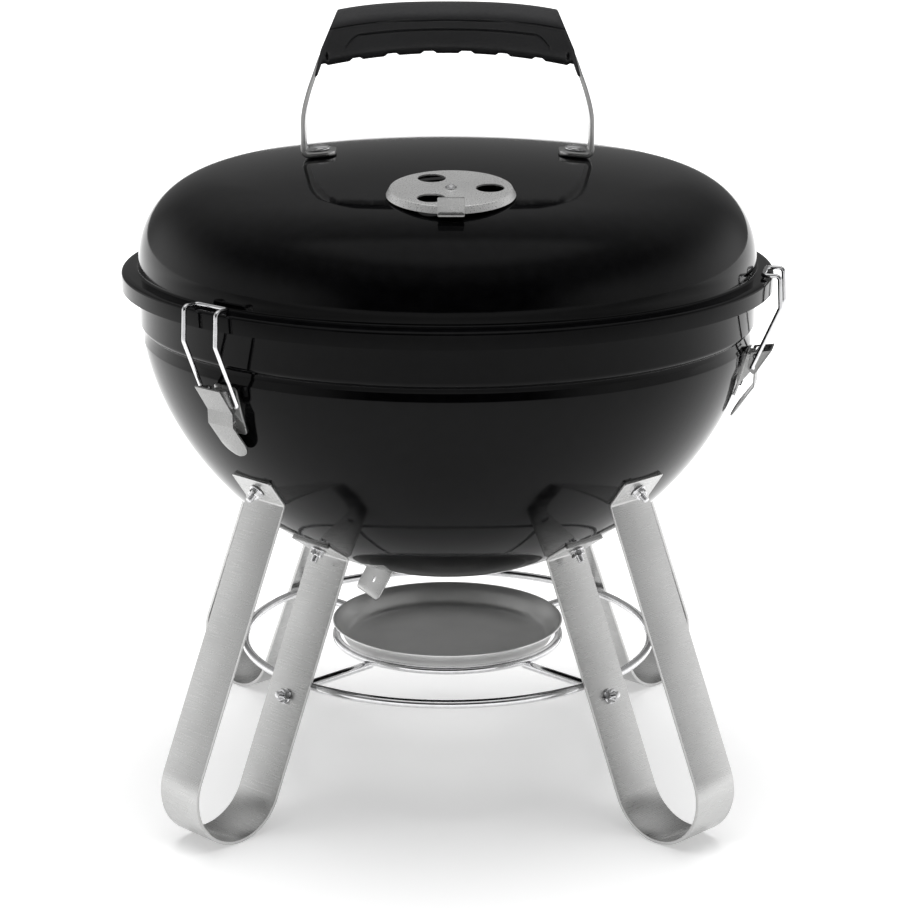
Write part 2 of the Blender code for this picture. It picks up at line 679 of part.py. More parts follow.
def make_bottom_damper():
    """A dished plate under the bowl's vents, with an arm that folds down into a finger tab."""
    axis = frame_at("bottom_damper_axis", LOW_DAMPER_ARM)
    lift = GAP + 0.3 * MM
    sheet = 1.0 * MM
    radii = [37, 30, 20, 10]
    upper = [(0, body_z(0) - lift)]
    upper += [(r * MM, body_z(r * MM) - lift) for r in reversed(radii)]
    lower = [(r * MM, body_z(r * MM) - lift - sheet) for r in radii] + [(0, body_z(0) - lift - sheet)]
    plate = turned("bottom_damper", upper + lower, STAINLESS, steps=32, parent=axis)
    fold = LOW_DAMPER_FOLD_R
    drop = 21.0 * MM
    arm = [
        (30 * MM, body_z(30 * MM) - lift - 0.2 * MM),
        (fold, body_z(fold) - lift - 0.9 * MM),
        (fold + drop * math.sin(math.radians(30)), body_z(fold) - lift - drop * math.cos(math.radians(30))),
    ]
    arm_data = strip_mesh("damper_arm", rounded(arm, 1.5 * MM, 2), 31 * MM, sheet)
    weld_on(plate, arm_data, parent=axis)
    rods = [((0, 0, 0.112), (0, 0, 0.136), BOLT_HOLE_R)]
    for angle in (0, 120, 240):
        t = math.radians(angle)
        x, y = BOWL_VENT_AT * math.cos(t), BOWL_VENT_AT * math.sin(t)
        rods.append(((x, y, 0.112), (x, y, 0.136), BOWL_VENT_R + 0.4 * MM))
    middle = Vector((fold + 11 * MM * 0.5, 0, body_z(fold) - lift - 11 * MM * 0.866))
    away = Vector((0.866, 0, 0.5)) * 6 * MM
    rods.append((middle - away, middle + away, 2.6 * MM))
    drill(plate, rods, parent=axis, sides=12)
    z = body_z(0)
    low = z - lift - sheet - GAP
    rivet = [
        (0, z + SHEET + 2.4 * MM), (3.6 * MM, z + SHEET + 1.8 * MM), (4.0 * MM, z + SHEET + GAP + 0.1 * MM),
        (BOLT_R, z + SHEET + GAP + 0.1 * MM), (BOLT_R, low), (4.2 * MM, low), (3.0 * MM, low - 1.6 * MM),
        (0, low - 2.0 * MM),
    ]
    turned("bottom_damper_rivet", rivet, PLATED, steps=12)


# --- latches ----------------------------------------------------------------------------------

def latch_base(name, frame):
    """A plate that lies on the bowl, with two ears that hold the lever's pin."""
    middle, normal, tangent = body_point(176.2 * MM, GAP + 0.75 * MM)
    half = 14.5 * MM
    thick = 1.0 * MM
    path = [tuple(middle - tangent * half), tuple(middle + tangent * half)]
    plate = bent_strip(name, path, 2 * EAR_HALF + 1.0 * MM, thick, STAINLESS, parent=frame)
    pivot = Vector(LEVER_PIVOT)
    for side in (-1, 1):
        work = bmesh.new()
        reach = normal * 0.2 * MM
        corners = [
            middle - tangent * 8 * MM + reach, middle + tangent * 12 * MM + reach,
            pivot + normal * 3.0 * MM + tangent * 2.5 * MM, pivot + normal * 3.0 * MM - tangent * 2.5 * MM,
        ]
        ear = [work.verts.new((c.x, side * EAR_HALF, c.y)) for c in corners]
        face = work.faces.new(ear)
        grown = bmesh.ops.extrude_face_region(work, geom=[face])
        moved = [v for v in grown["geom"] if isinstance(v, bmesh.types.BMVert)]
        bmesh.ops.translate(work, verts=moved, vec=(0, -side * 1.0 * MM, 0))
        bmesh.ops.recalc_face_normals(work, faces=work.faces)
        weld_on(plate, mesh_from(work, f"{name}_ear"), parent=frame)
    drill(plate, [(flat(pivot, -12 * MM), flat(pivot, 12 * MM), PIN_R + 0.4 * MM)], parent=frame)
    rivet_at, rivet_normal, _ = body_point(RIVET_R)
    hole = [(flat(rivet_at - rivet_normal * 5 * MM), flat(rivet_at + rivet_normal * 5 * MM), BOLT_HOLE_R)]
    drill(plate, hole, parent=frame)


def latch_lever(name, frame):
    """A channel round the pin whose front plate runs down into a rounded finger tongue."""
    pivot = Vector(LEVER_PIVOT)
    front = [
        (194.2 * MM, 266.0 * MM), (184.9 * MM, 251.6 * MM), (184.6 * MM, 243.6 * MM), (171.0 * MM, 223.6 * MM),
    ]
    hinge = bpy.data.objects.new(f"{name}_axis", None)
    PARTS.objects.link(hinge)
    hinge.parent = frame
    hinge.location = flat(pivot)
    shifted = [(x - pivot.x, z - pivot.y) for x, z in front]
    run = rounded(shifted, 1.5 * MM, 2)
    widths = [2 * LEVER_HALF] * len(run)
    root, tip = Vector(shifted[2]), Vector(shifted[3])
    round_from = 1 - LEVER_HALF / (tip - root).length
    run.pop()
    widths.pop()
    for turn in (0, 25, 45, 62, 76):
        t = math.radians(turn)
        run.append(tuple(root.lerp(tip, round_from + (1 - round_from) * math.sin(t))))
        widths.append(2 * LEVER_HALF * math.cos(t))
    lever = bent_strip(name, run, widths, LEVER_SHEET, STAINLESS, parent=hinge)
    back = [(-3.2 * MM, 2.4 * MM), (-4.6 * MM, -7.4 * MM), (-2.0 * MM, -10.6 * MM)]
    for side in (-1, 1):
        work = bmesh.new()
        plate = [Vector(p) for p in shifted]
        corners = [Vector(back[0]), Vector(back[1]), Vector(back[2]), plate[1], plate[0]]
        cheek = [work.verts.new((c.x, side * LEVER_HALF, c.y)) for c in corners]
        face = work.faces.new(cheek)
        grown = bmesh.ops.extrude_face_region(work, geom=[face])
        moved = [v for v in grown["geom"] if isinstance(v, bmesh.types.BMVert)]
        bmesh.ops.translate(work, verts=moved, vec=(0, -side * LEVER_SHEET, 0))
        bmesh.ops.recalc_face_normals(work, faces=work.faces)
        weld_on(lever, mesh_from(work, f"{name}_cheek"), parent=hinge)
    bail = Vector(BAIL_PIVOT) - pivot
    drill(lever, [
        (Vector((0, -12 * MM, 0)), Vector((0, 12 * MM, 0)), PIN_R + 0.4 * MM),
        (flat(bail, -12 * MM), flat(bail, 12 * MM), BAIL_WIRE_R + 0.4 * MM),
    ], parent=hinge)


def latch_bail(name, frame):
    """A wire loop: both ends turn in through the lever's cheeks, its middle crosses the lid's flange."""
    pivot = Vector(BAIL_PIVOT)
    hinge = bpy.data.objects.new(f"{name}_axis", None)
    PARTS.objects.link(hinge)
    hinge.parent = frame
    hinge.location = flat(pivot)
    top_z = FLANGE_Z + BAIL_WIRE_R + 0.55 * MM
    half = [
        (BAIL_PIVOT[0], BAIL_END, BAIL_PIVOT[1]),
        (BAIL_PIVOT[0], BAIL_HALF, BAIL_PIVOT[1]),
        (199.0 * MM, BAIL_HALF, 290.8 * MM),
        (198.0 * MM, BAIL_HALF, top_z),
        (188.3 * MM, BAIL_HALF, top_z),
    ]
    points = [Vector(p) for p in half] + [Vector((x, -y, z)) for x, y, z in reversed(half)]
    soft = [points[0]]
    for before, corner, after in zip(points, points[1:], points[2:]):
        cut = 2.2 * MM
        a = corner + (before - corner).normalized() * cut
        b = corner + (after - corner).normalized() * cut
        soft += [a, (a + b + 2 * corner) / 4, b]
    soft.append(points[-1])
    wire(name, [p - flat(pivot) for p in soft], BAIL_WIRE_R, PLATED, parent=hinge, sides=1)


def make_latches(bowl):
    for where, azimuth in LATCH_AZIMUTHS.items():
        frame = frame_at(f"latch_frame_{where}", azimuth)
        latch_base(f"latch_base_{where}", frame)
        latch_lever(f"latch_lever_{where}", frame)
        latch_bail(f"latch_bail_{where}", frame)
        pin = rod_mesh("pin", [((0, 0, -LEVER_HALF), (0, 0, LEVER_HALF), PIN_R)], sides=12)
        place(f"latch_pin_{where}", pin, PLATED, parent=frame, at=flat(LEVER_PIVOT), facing=(0, 1, 0))
        spot, normal, _ = body_point(RIVET_R)
        inside = spot - normal * (SHEET + GAP + 0.6 * MM)
        drill(bowl, [(flat(spot - normal * 5 * MM), flat(spot + normal * 5 * MM), BOLT_HOLE_R)], parent=frame)
        length = SHEET + GAP + 0.6 * MM + 3.3 * MM
        bolt(f"latch_rivet_{where}", frame, flat(inside), flat(normal), length, head_r=3.4 * MM, head_h=1.2 * MM)


def main():
    bowl = make_bowl()
    make_legs(bowl)
    make_rack()
    make_ash_dish()
    make_grate("cooking_grate", COOKING_R, COOKING_Z, 17.0 * MM)
    make_grate("charcoal_grate", CHARCOAL_R, CHARCOAL_Z, 21.0 * MM)
    make_lid()
    make_top_damper()
    make_handle()
    make_bottom_damper()
    make_latches(bowl)


main()
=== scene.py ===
"""The looks of a portable kettle charcoal grill, built round its packed frame.

Every piece takes its place from the frame's own boxes and from a few driving sizes, which are
properties that a user can change before running the operators in the sidebar.
"""
import json
import math

import bmesh
import bpy
from bpy.props import FloatProperty, FloatVectorProperty, IntProperty, PointerProperty
from mathutils import Matrix, Vector


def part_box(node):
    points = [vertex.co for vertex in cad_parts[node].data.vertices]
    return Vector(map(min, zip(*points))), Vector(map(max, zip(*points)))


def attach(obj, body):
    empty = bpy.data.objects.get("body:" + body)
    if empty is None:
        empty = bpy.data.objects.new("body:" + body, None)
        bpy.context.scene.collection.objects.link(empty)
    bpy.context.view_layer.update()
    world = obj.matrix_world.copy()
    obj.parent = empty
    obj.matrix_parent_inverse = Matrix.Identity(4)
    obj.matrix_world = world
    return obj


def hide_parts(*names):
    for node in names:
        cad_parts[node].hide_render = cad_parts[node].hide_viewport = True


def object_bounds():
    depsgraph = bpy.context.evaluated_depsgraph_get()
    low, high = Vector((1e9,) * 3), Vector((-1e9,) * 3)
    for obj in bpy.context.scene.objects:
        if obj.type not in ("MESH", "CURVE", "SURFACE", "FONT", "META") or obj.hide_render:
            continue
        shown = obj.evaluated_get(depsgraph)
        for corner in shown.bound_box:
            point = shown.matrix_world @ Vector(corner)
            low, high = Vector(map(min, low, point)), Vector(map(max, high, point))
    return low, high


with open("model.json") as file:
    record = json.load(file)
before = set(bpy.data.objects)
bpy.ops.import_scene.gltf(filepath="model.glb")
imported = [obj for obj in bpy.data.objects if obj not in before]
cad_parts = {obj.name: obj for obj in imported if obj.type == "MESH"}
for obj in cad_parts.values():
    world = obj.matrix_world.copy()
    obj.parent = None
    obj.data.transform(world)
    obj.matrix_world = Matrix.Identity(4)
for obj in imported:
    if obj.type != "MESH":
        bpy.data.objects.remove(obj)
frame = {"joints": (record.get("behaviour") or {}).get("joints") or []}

bl_info = {
    "name": "Kettle grill",
    "version": (1, 0, 0),
    "blender": (4, 5, 0),
    "location": "View3D > Sidebar > Grill",
    "description": "Builds the visible pieces, finishes and studio of a portable kettle charcoal grill",
    "category": "Add Mesh",
}

MM = 0.001
CAD_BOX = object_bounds()
LID_LOW, LID_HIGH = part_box("lid")
BOWL_LOW, BOWL_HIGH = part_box("bowl")
RACK_LOW, RACK_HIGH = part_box("rack")
GRIP_LOW, GRIP_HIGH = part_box("handle_grip")
DISH_LOW, DISH_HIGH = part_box("ash_dish")
GAP = 0.3 * MM
LEG_AZIMUTHS = {"front_right": 45, "back_right": 135, "back_left": 225, "front_left": 315}
LOW_ARM_AZIMUTH = -64
LATCH_AZIMUTHS = {"front_left": -42.5, "right": 78, "back": 198}
JOINTS = {joint["name"]: joint for joint in frame["joints"]}


# --- sizes and colours a user may change -------------------------------------------------------

def length(name, description, default):
    return FloatProperty(
        name=name, description=description, default=default, min=0, unit="LENGTH", precision=4)


def share(name, description, default):
    return FloatProperty(name=name, description=description, default=default, min=0, max=1, subtype="FACTOR")


def colour(name, description, default):
    return FloatVectorProperty(
        name=name, description=description, default=default, min=0, max=1, size=3, subtype="COLOR")


class GrillKettleSizes(bpy.types.PropertyGroup):
    """Sizes of the enamelled bowl and lid."""
    sheet: length("Sheet thickness", "Thickness of the enamelled steel", 1.2 * MM)
    flange_radius: length("Flange radius", "Outer radius of the lid's flange", LID_HIGH.x)
    flange_height: length("Flange height", "Height of the flange's flat top", 311.6 * MM)
    crown_radius: length("Crown radius", "Radius of the sphere that the lid's top follows", 858 * MM)
    band_radius: length("Band radius", "Radius of the bowl's straight band", 181.5 * MM)
    band_bottom: length("Band bottom", "Height of the band's lower edge", 279 * MM)
    body_radius: length("Bowl radius", "Largest radius of the bowl's round body", 180.9 * MM)
    body_top: length("Bowl body top", "Height at which the body's curve would be upright", 284.1 * MM)
    body_depth: length("Bowl depth", "How far the round body reaches down", 159.1 * MM)
    vent_radius: length("Vent radius", "Radius of the three vents in the bowl's bottom", 7.5 * MM)
    vent_place: length("Vent distance", "Distance from the bowl's axis to its vents", 20 * MM)
    round_steps: IntProperty(
        name="Steps round", description="Faces round each large turned piece", default=160, min=24, max=512)


class GrillDamperSizes(bpy.types.PropertyGroup):
    """Sizes of the two round dampers."""
    top_radius: length("Top damper radius", "Radius of the top damper's flat face", 33.6 * MM)
    foot_radius: length("Top damper foot", "Radius where the top damper meets the lid", 35.6 * MM)
    height: length("Top damper height", "Height of the top damper's face over the lid", 4.2 * MM)
    vent_radius: length("Vent radius", "Radius of the vents through the top damper", 7.8 * MM)
    vent_place: length("Vent distance", "Distance from the damper's rivet to its vents", 21.3 * MM)
    tab_width: length("Tab width", "Width of the upright finger tab", 14.6 * MM)
    tab_height: length("Tab height", "Height of the upright finger tab over the lid", 10.4 * MM)
    low_radius: length("Bottom damper radius", "Radius of the plate under the bowl", 37 * MM)
    low_fold: length("Bottom damper fold", "Distance from the axis to the fold of its tab", 44 * MM)
    low_tab_width: length("Bottom tab width", "Width of the bottom damper's tab", 31 * MM)
    low_tab_drop: length("Bottom tab drop", "Length of the bottom damper's tab", 21 * MM)


class GrillHandleSizes(bpy.types.PropertyGroup):
    """Sizes of the lid's strap and grip."""
    strap_width: length("Strap width", "Width of the handle's metal strap", 25 * MM)
    strap_thick: length("Strap thickness", "Thickness of the handle's metal strap", 2.5 * MM)
    screw_place: length("Screw distance", "Distance from the lid's axis to each foot's screw", 75 * MM)
    grip_depth: length("Grip depth", "Front to back depth of the grip", GRIP_HIGH.y - GRIP_LOW.y)
    grip_top_half: length("Grip top half length", "Half the length of the grip's top", 63.8 * MM)
    grip_low_half: length(
        "Grip lower half length", "Half the length of the grip's underside", GRIP_HIGH.x + 3.2 * MM)
    finger_depth: length("Finger ridge depth", "How far the ridges between the fingers stand down", 1.5 * MM)


class GrillLegSizes(bpy.types.PropertyGroup):
    """Sizes of the strap legs, the wire rack and the ash dish."""
    width: length("Leg width", "Width of the leg's strip", 32 * MM)
    thick: length("Leg thickness", "Thickness of the leg's strip", 2 * MM)
    lean: FloatProperty(name="Leg lean", description="How far each leg leans outwards going up",
                        default=math.radians(23.9), subtype="ANGLE")
    outer_bolt: length("Outer bolt radius", "Distance from the axis to the outer tab's bolt", 150.3 * MM)
    inner_bolt: length("Inner bolt radius", "Distance from the axis to the inner tab's bolt", 104.5 * MM)
    tab_half: length("Tab half length", "Half the length of each bolted tab", 9.5 * MM)
    rack_height: length("Rack height", "Height of the rack's rings", 78.5 * MM)
    rack_radius: length("Rack radius", "Radius of the rack's outer ring", 124.9 * MM)
    rack_inner: length("Rack inner radius", "Radius of the ring that carries the ash dish", 68.5 * MM)
    rack_wire: length("Rack wire radius", "Radius of the rack's wire", 2.5 * MM)
    rack_bolt: length("Rack bolt height", "Height of the bolts that hold the rack to the legs", 71.5 * MM)
    dish_radius: length("Dish radius", "Outer radius of the ash dish's rim", DISH_HIGH.x)


class GrillLatchSizes(bpy.types.PropertyGroup):
    """Sizes of the three lid latches."""
    lever_half: length("Lever half width", "Half the width of the latch's lever", 10 * MM)
    lever_sheet: length("Lever sheet", "Thickness of the lever's steel", 1 * MM)
    ear_half: length("Ear half width", "Half the width over the base plate's ears", 8.4 * MM)
    bail_half: length("Bail half width", "Half the width of the wire bail", 12.7 * MM)
    bail_wire: length("Bail wire radius", "Radius of the bail's wire", 1.3 * MM)
    pin_radius: length("Pin radius", "Radius of the lever's pin", 1.5 * MM)
    rivet_place: length("Rivet radius", "Radius on the bowl where the base plate is riveted", 174 * MM)


class GrillGrateSizes(bpy.types.PropertyGroup):
    """Sizes of the two wire grates."""
    cooking_height: length("Cooking grate height", "Height of the cooking grate's ring", 281.6 * MM)
    cooking_radius: length("Cooking grate radius", "Radius of the cooking grate's ring", 176.9 * MM)
    cooking_spacing: length("Cooking bar spacing", "Distance between the cooking grate's bars", 17 * MM)
    charcoal_height: length("Charcoal grate height", "Height of the charcoal grate's ring", 182 * MM)
    charcoal_radius: length("Charcoal grate radius", "Radius of the charcoal grate's ring", 125 * MM)
    charcoal_spacing: length("Charcoal bar spacing", "Distance between the charcoal grate's bars", 21 * MM)
    ring_wire: length("Ring wire radius", "Radius of the rings' wire", 2.5 * MM)
    bar_wire: length("Bar wire radius", "Radius of the bars", 2 * MM)


class GrillFinishes(bpy.types.PropertyGroup):
    """Colours and gloss of the grill's surfaces."""
    enamel: colour("Enamel", "Colour of the porcelain enamel", (0.0015, 0.0015, 0.0017))
    enamel_roughness: share("Enamel roughness", "Roughness of the clean enamel", 0.07)
    steel: colour("Stainless steel", "Colour of the brushed steel", (0.60, 0.60, 0.595))
    steel_roughness: share("Steel roughness", "Mean roughness of the brushed steel", 0.30)
    plating: colour("Plating", "Colour of the plated wires and fasteners", (0.80, 0.80, 0.81))
    plating_roughness: share("Plating roughness", "Mean roughness of the plating", 0.14)
    plastic: colour("Plastic", "Colour of the moulded grip", (0.013, 0.013, 0.014))
    plastic_roughness: share("Plastic roughness", "Mean roughness of the moulded grip", 0.48)
    floor: colour("Floor", "Colour of the studio floor", (0.90, 0.90, 0.90))


SIZES = {
    "grill_kettle": GrillKettleSizes,
    "grill_damper": GrillDamperSizes,
    "grill_handle": GrillHandleSizes,
    "grill_leg": GrillLegSizes,
    "grill_latch": GrillLatchSizes,
    "grill_grate": GrillGrateSizes,
    "grill_finish": GrillFinishes,
}


# --- mesh helpers ------------------------------------------------------------------------------

def outward(work):
    bmesh.ops.recalc_face_normals(work, faces=work.faces)
    if work.calc_volume(signed=True) < 0:
        bmesh.ops.reverse_faces(work, faces=work.faces)


def piece(name, work, finish, body, nodes=(), at=None, crease=30):
    """Turns a bmesh into a named object that rides on a body and stands for the given frame nodes."""
    outward(work)
    data = bpy.data.meshes.new(name)
    work.to_mesh(data)
    work.free()
    data.shade_smooth()
    data.set_sharp_from_angle(angle=math.radians(crease))
    data.materials.append(finish)
    made = bpy.data.objects.new(name, data)
    bpy.context.scene.collection.objects.link(made)
    if at is not None:
        made.matrix_world = at
    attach(made, body)
    if nodes:
        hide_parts(*nodes)
    return made


def join(work, other, matrix=None):
    """Adds another bmesh's faces to work."""
    if matrix is not None:
        bmesh.ops.transform(other, matrix=matrix, verts=other.verts)
    data = bpy.data.meshes.new("joined")
    other.to_mesh(data)
    other.free()
    work.from_mesh(data)
    bpy.data.meshes.remove(data)


def lathe(profile, steps):
    """Turns a closed (radius, height) outline round Z. Points on the axis become single vertices."""
    work = bmesh.new()
    rings = []
    for r, z in profile:
        if r < 1e-7:
            rings.append([work.verts.new((0, 0, z))])
        else:
            rings.append([
                work.verts.new((r * math.cos(math.tau * i / steps), r * math.sin(math.tau * i / steps), z))
                for i in range(steps)])
    for a, b in zip(rings, rings[1:] + rings[:1]):
        for i in range(steps):
            j = (i + 1) % steps
            if len(a) == 1 and len(b) == 1:
                break
            if len(a) == 1:
                work.faces.new((a[0], b[i], b[j]))
            elif len(b) == 1:
                work.faces.new((a[i], b[0], a[j]))
            else:
                work.faces.new((a[i], b[i], b[j], a[j]))
    return work


def rounded(points, radius, steps=4):
    """The chain of points with each inner corner replaced by a short arc. radius may be a list per corner."""
    radii = radius if isinstance(radius, list) else [radius] * (len(points) - 2)
    made = [Vector(points[0])]
    for before, corner, after, r in zip(points, points[1:], points[2:], radii):
        a, c, b = Vector(before), Vector(corner), Vector(after)
        u, v = (a - c).normalized(), (b - c).normalized()
        half = math.acos(max(-1, min(1, u.dot(v)))) / 2
        if r <= 0 or half > math.radians(89.5):
            made.append(c)
            continue
        reach = r / math.tan(half)
        reach = min(reach, (a - c).length * 0.49, (b - c).length * 0.49)
        r = reach * math.tan(half)
        centre = c + (u + v).normalized() * (r / math.sin(half))
        start, end = c + u * reach - centre, c + v * reach - centre
        turn = math.pi - 2 * half
        for i in range(steps + 1):
            t = i / steps
            between = start * math.sin((1 - t) * turn) + end * math.sin(t * turn)
            made.append(centre + between / math.sin(turn))
    made.append(Vector(points[-1]))
    return made


def offset(points, distance):
    """The open 2D chain moved sideways to the right of its direction."""
    moved = []
    for i, p in enumerate(points):
        a, b = points[max(i - 1, 0)], points[min(i + 1, len(points) - 1)]
        if i in (0, len(points) - 1):
            t = (Vector(b) - Vector(a)).normalized()
            moved.append(Vector(p) + Vector((t.y, -t.x)) * distance)
            continue
        t0, t1 = (Vector(p) - Vector(a)).normalized(), (Vector(b) - Vector(p)).normalized()
        n0, n1 = Vector((t0.y, -t0.x)), Vector((t1.y, -t1.x))
        n = (n0 + n1).normalized()
        moved.append(Vector(p) + n * (distance / max(0.3, n.dot(n0))))
    return moved


def walled(points, thickness):
    """A closed outline of a sheet: the outside down, the inside back up. Ends on the axis stay there."""
    inner = offset(points, thickness)
    for outer, spot in ((points[0], inner[0]), (points[-1], inner[-1])):
        if outer[0] < 1e-7:
            spot.x = 0
    return [tuple(p) for p in points] + [tuple(p) for p in reversed(inner)]


def smooth_chain(points, steps=6):
    """A smooth curve through all the points, from one to the next by the same number of steps."""
    pts = [Vector(p) for p in points]
    pts = [2 * pts[0] - pts[1]] + pts + [2 * pts[-1] - pts[-2]]
    made = []
    for p0, p1, p2, p3 in zip(pts, pts[1:], pts[2:], pts[3:]):
        for i in range(steps):
            t = i / steps
            made.append(0.5 * (2 * p1 + (p2 - p0) * t + (2 * p0 - 5 * p1 + 4 * p2 - p3) * t ** 2
                               + (3 * p1 - p0 - 3 * p2 + p3) * t ** 3))
    made.append(pts[-2])
    return made


def sweep(path, section, closed=False, side=None):
    """Carries a section along a path without twist. section is a list of (across, over) points, or a
    function of the point's number that returns one."""
    pts = [Vector(p) for p in path]
    count = len(pts)
    tangents = []
    for i in range(count):
        if closed:
            a, b = pts[i - 1], pts[(i + 1) % count]
        else:
            a, b = pts[max(i - 1, 0)], pts[min(i + 1, count - 1)]
        tangents.append((b - a).normalized())
    across = Vector(side) if side else tangents[0].orthogonal()
    across = (across - tangents[0] * across.dot(tangents[0])).normalized()
    work = bmesh.new()
    rings = []
    for i, (p, t) in enumerate(zip(pts, tangents)):
        if i:
            turn = tangents[i - 1].rotation_difference(t)
            across = turn @ across
            across = (across - t * across.dot(t)).normalized()
        over = t.cross(across)
        shape = section(i) if callable(section) else section
        rings.append([work.verts.new(p + across * u + over * v) for u, v in shape])
    pairs = list(zip(rings, rings[1:]))
    if closed:
        pairs.append((rings[-1], rings[0]))
    n = len(rings[0])
    for a, b in pairs:
        for i in range(n):
            work.faces.new((a[i], b[i], b[(i + 1) % n], a[(i + 1) % n]))
    if not closed:
        work.faces.new(rings[0])
        work.faces.new(list(reversed(rings[-1])))
    return work


def round_section(radius, steps=16):
    return [(radius * math.cos(math.tau * i / steps), radius * math.sin(math.tau * i / steps))
            for i in range(steps)]


def strip_section(width, thick, edge=0.35 * MM):
    """A flat bar's section with eased edges."""
    w, t = width / 2, thick / 2
    e = min(edge, t * 0.9, w * 0.9)
    c = e * 0.293
    return [
        (w - e, -t), (w - c, -t + c), (w, -t + e), (w, t - e), (w - c, t - c), (w - e, t),
        (-w + e, t), (-w + c, t - c), (-w, t - e), (-w, -t + e), (-w + c, -t + c), (-w + e, -t)]


def spread(path, spacing):
    """The same open chain with points no further apart than spacing."""
    pts = [Vector(p) for p in path]
    made = [pts[0]]
    for a, b in zip(pts, pts[1:]):
        steps = max(1, math.ceil((b - a).length / spacing))
        made += [a.lerp(b, i / steps) for i in range(1, steps + 1)]
    return made


def strap(path, width, thick, corner=0.0, edge=0.35 * MM, widths=None, across=(0, 1, 0)):
    """A flat strip along an (x, z) chain, its ends cut with rounded corners of the given radius."""
    pts = [Vector((p[0], 0, p[1])) for p in path]
    if corner:
        for _ in range(2):
            first, second = pts[0], pts[1]
            reach = (second - first).length
            cuts = [corner * f for f in (0.03, 0.14, 0.3, 0.55, 1.0)]
            pts = [first] + [first.lerp(second, c / reach) for c in cuts if c < reach * 0.98] + pts[1:]
            pts.reverse()
    places = [0.0]
    for a, b in zip(pts, pts[1:]):
        places.append(places[-1] + (b - a).length)
    total = places[-1]

    def shape(i):
        wide = widths(places[i] / total) if widths else width
        near = min(places[i], total - places[i])
        if corner and near < corner:
            wide -= 2 * (corner - math.sqrt(max(0, corner ** 2 - (corner - near) ** 2)))
        return strip_section(wide, thick, edge)
    return sweep(pts, shape, side=across)


def ring(radius, height, wire, steps=120, sides=16):
    """A closed wire ring, level, round the Z axis."""
    path = [(radius * math.cos(math.tau * i / steps), radius * math.sin(math.tau * i / steps), height)
            for i in range(steps)]
    return sweep(path, round_section(wire, sides), closed=True)


def rod(start, end, radius, sides=24, ease=0.0):
    """A round bar with eased ends."""
    a, b = Vector(start), Vector(end)
    t = (b - a).normalized()
    spots = [(a, radius), (b, radius)]
    if ease:
        spots = [(a, radius - ease), (a + t * ease * 0.3, radius - ease * 0.3), (a + t * ease, radius),
                 (b - t * ease, radius), (b - t * ease * 0.3, radius - ease * 0.3), (b, radius - ease)]
    return sweep([s for s, _ in spots], lambda i: round_section(spots[i][1], sides))


def cut(work, rods, sides=48):
    """Takes round bars (start, end, radius) out of a bmesh and gives the result back."""
    target = bpy.data.objects.new("cut_target", bpy.data.meshes.new("cut_target"))
    outward(work)
    work.to_mesh(target.data)
    work.free()
    tool_work = bmesh.new()
    for start, end, radius in rods:
        join(tool_work, rod(start, end, radius, sides))
    outward(tool_work)
    tool = bpy.data.objects.new("cut_tool", bpy.data.meshes.new("cut_tool"))
    tool_work.to_mesh(tool.data)
    tool_work.free()
    for o in (target, tool):
        bpy.context.scene.collection.objects.link(o)
    step = target.modifiers.new("cut", "BOOLEAN")
    step.operation = "DIFFERENCE"
    step.solver = "EXACT"
    step.object = tool
    bpy.context.view_layer.update()
    data = bpy.data.meshes.new_from_object(target.evaluated_get(bpy.context.evaluated_depsgraph_get()))
    result = bmesh.new()
    result.from_mesh(data)
    for o in (target, tool):
        mesh = o.data
        bpy.data.objects.remove(o)
        bpy.data.meshes.remove(mesh)
    bpy.data.meshes.remove(data)
    return result


def around(azimuth):
    """A frame whose +X points out of the kettle's axis at the azimuth, counted from the front."""
    return Matrix.Rotation(math.radians(azimuth - 90), 4, "Z")


def facing(place, along):
    """A frame at place whose +Z points along the given way."""
    turn = Vector(along).to_track_quat("Z", "Y").to_matrix().to_4x4()
    return Matrix.Translation(Vector(place)) @ turn


def flat(point, y=0.0):
    return Vector((point[0], y, point[1]))


# --- the kettle's outlines ---------------------------------------------------------------------

def body_height(kettle, r):
    """Height of the bowl's outside at radius r. Its curve is a little fuller than an ellipse."""
    fullness = 1.77
    return kettle.body_top - kettle.body_depth * (1 - (r / kettle.body_radius) ** 2) ** (1 / fullness)


def body_point(kettle, r, out=0.0):
    """A point on the bowl's outside at radius r, its outward normal and its upward tangent, in (x, z)."""
    step = 0.5 * MM
    rise = body_height(kettle, r + step) - body_height(kettle, r - step)
    tangent = Vector((2 * step, rise)).normalized()
    normal = Vector((tangent.y, -tangent.x))
    return Vector((r, body_height(kettle, r))) + normal * out, normal, tangent


def crown_height(kettle, r):
    top = LID_HIGH.z - kettle.crown_radius
    return top + math.sqrt(kettle.crown_radius ** 2 - r ** 2)


def lid_outline(kettle):
    """The lid's outside from the top's middle to the lower edge of its skirt."""
    edge_r = 133.7 * MM
    foot_r = 182.9 * MM
    crown = [(edge_r * i / 18, crown_height(kettle, edge_r * i / 18)) for i in range(18)]
    edge = Vector((edge_r, crown_height(kettle, edge_r)))
    slope = math.asin(edge_r / kettle.crown_radius)
    foot = Vector((foot_r, kettle.flange_height + 1.5 * MM))
    pull_a = edge + Vector((math.cos(slope), -math.sin(slope))) * 29.2 * MM
    pull_b = foot + Vector((0, 32.1 * MM))
    shoulder = []
    for i in range(31):
        t = i / 30
        shoulder.append((1 - t) ** 3 * edge + 3 * (1 - t) ** 2 * t * pull_a
                        + 3 * (1 - t) * t * t * pull_b + t ** 3 * foot)
    r, z = kettle.flange_radius, kettle.flange_height
    low = LID_LOW.z
    flange = rounded(
        [shoulder[-2], (foot_r, z + 0.2 * MM), (r - 3.4 * MM, z - 0.1 * MM), (r, z - 0.7 * MM), (r, low)],
        [1.6 * MM, 3 * MM, 2.2 * MM], 6)
    return crown + shoulder[:-1] + flange[1:]


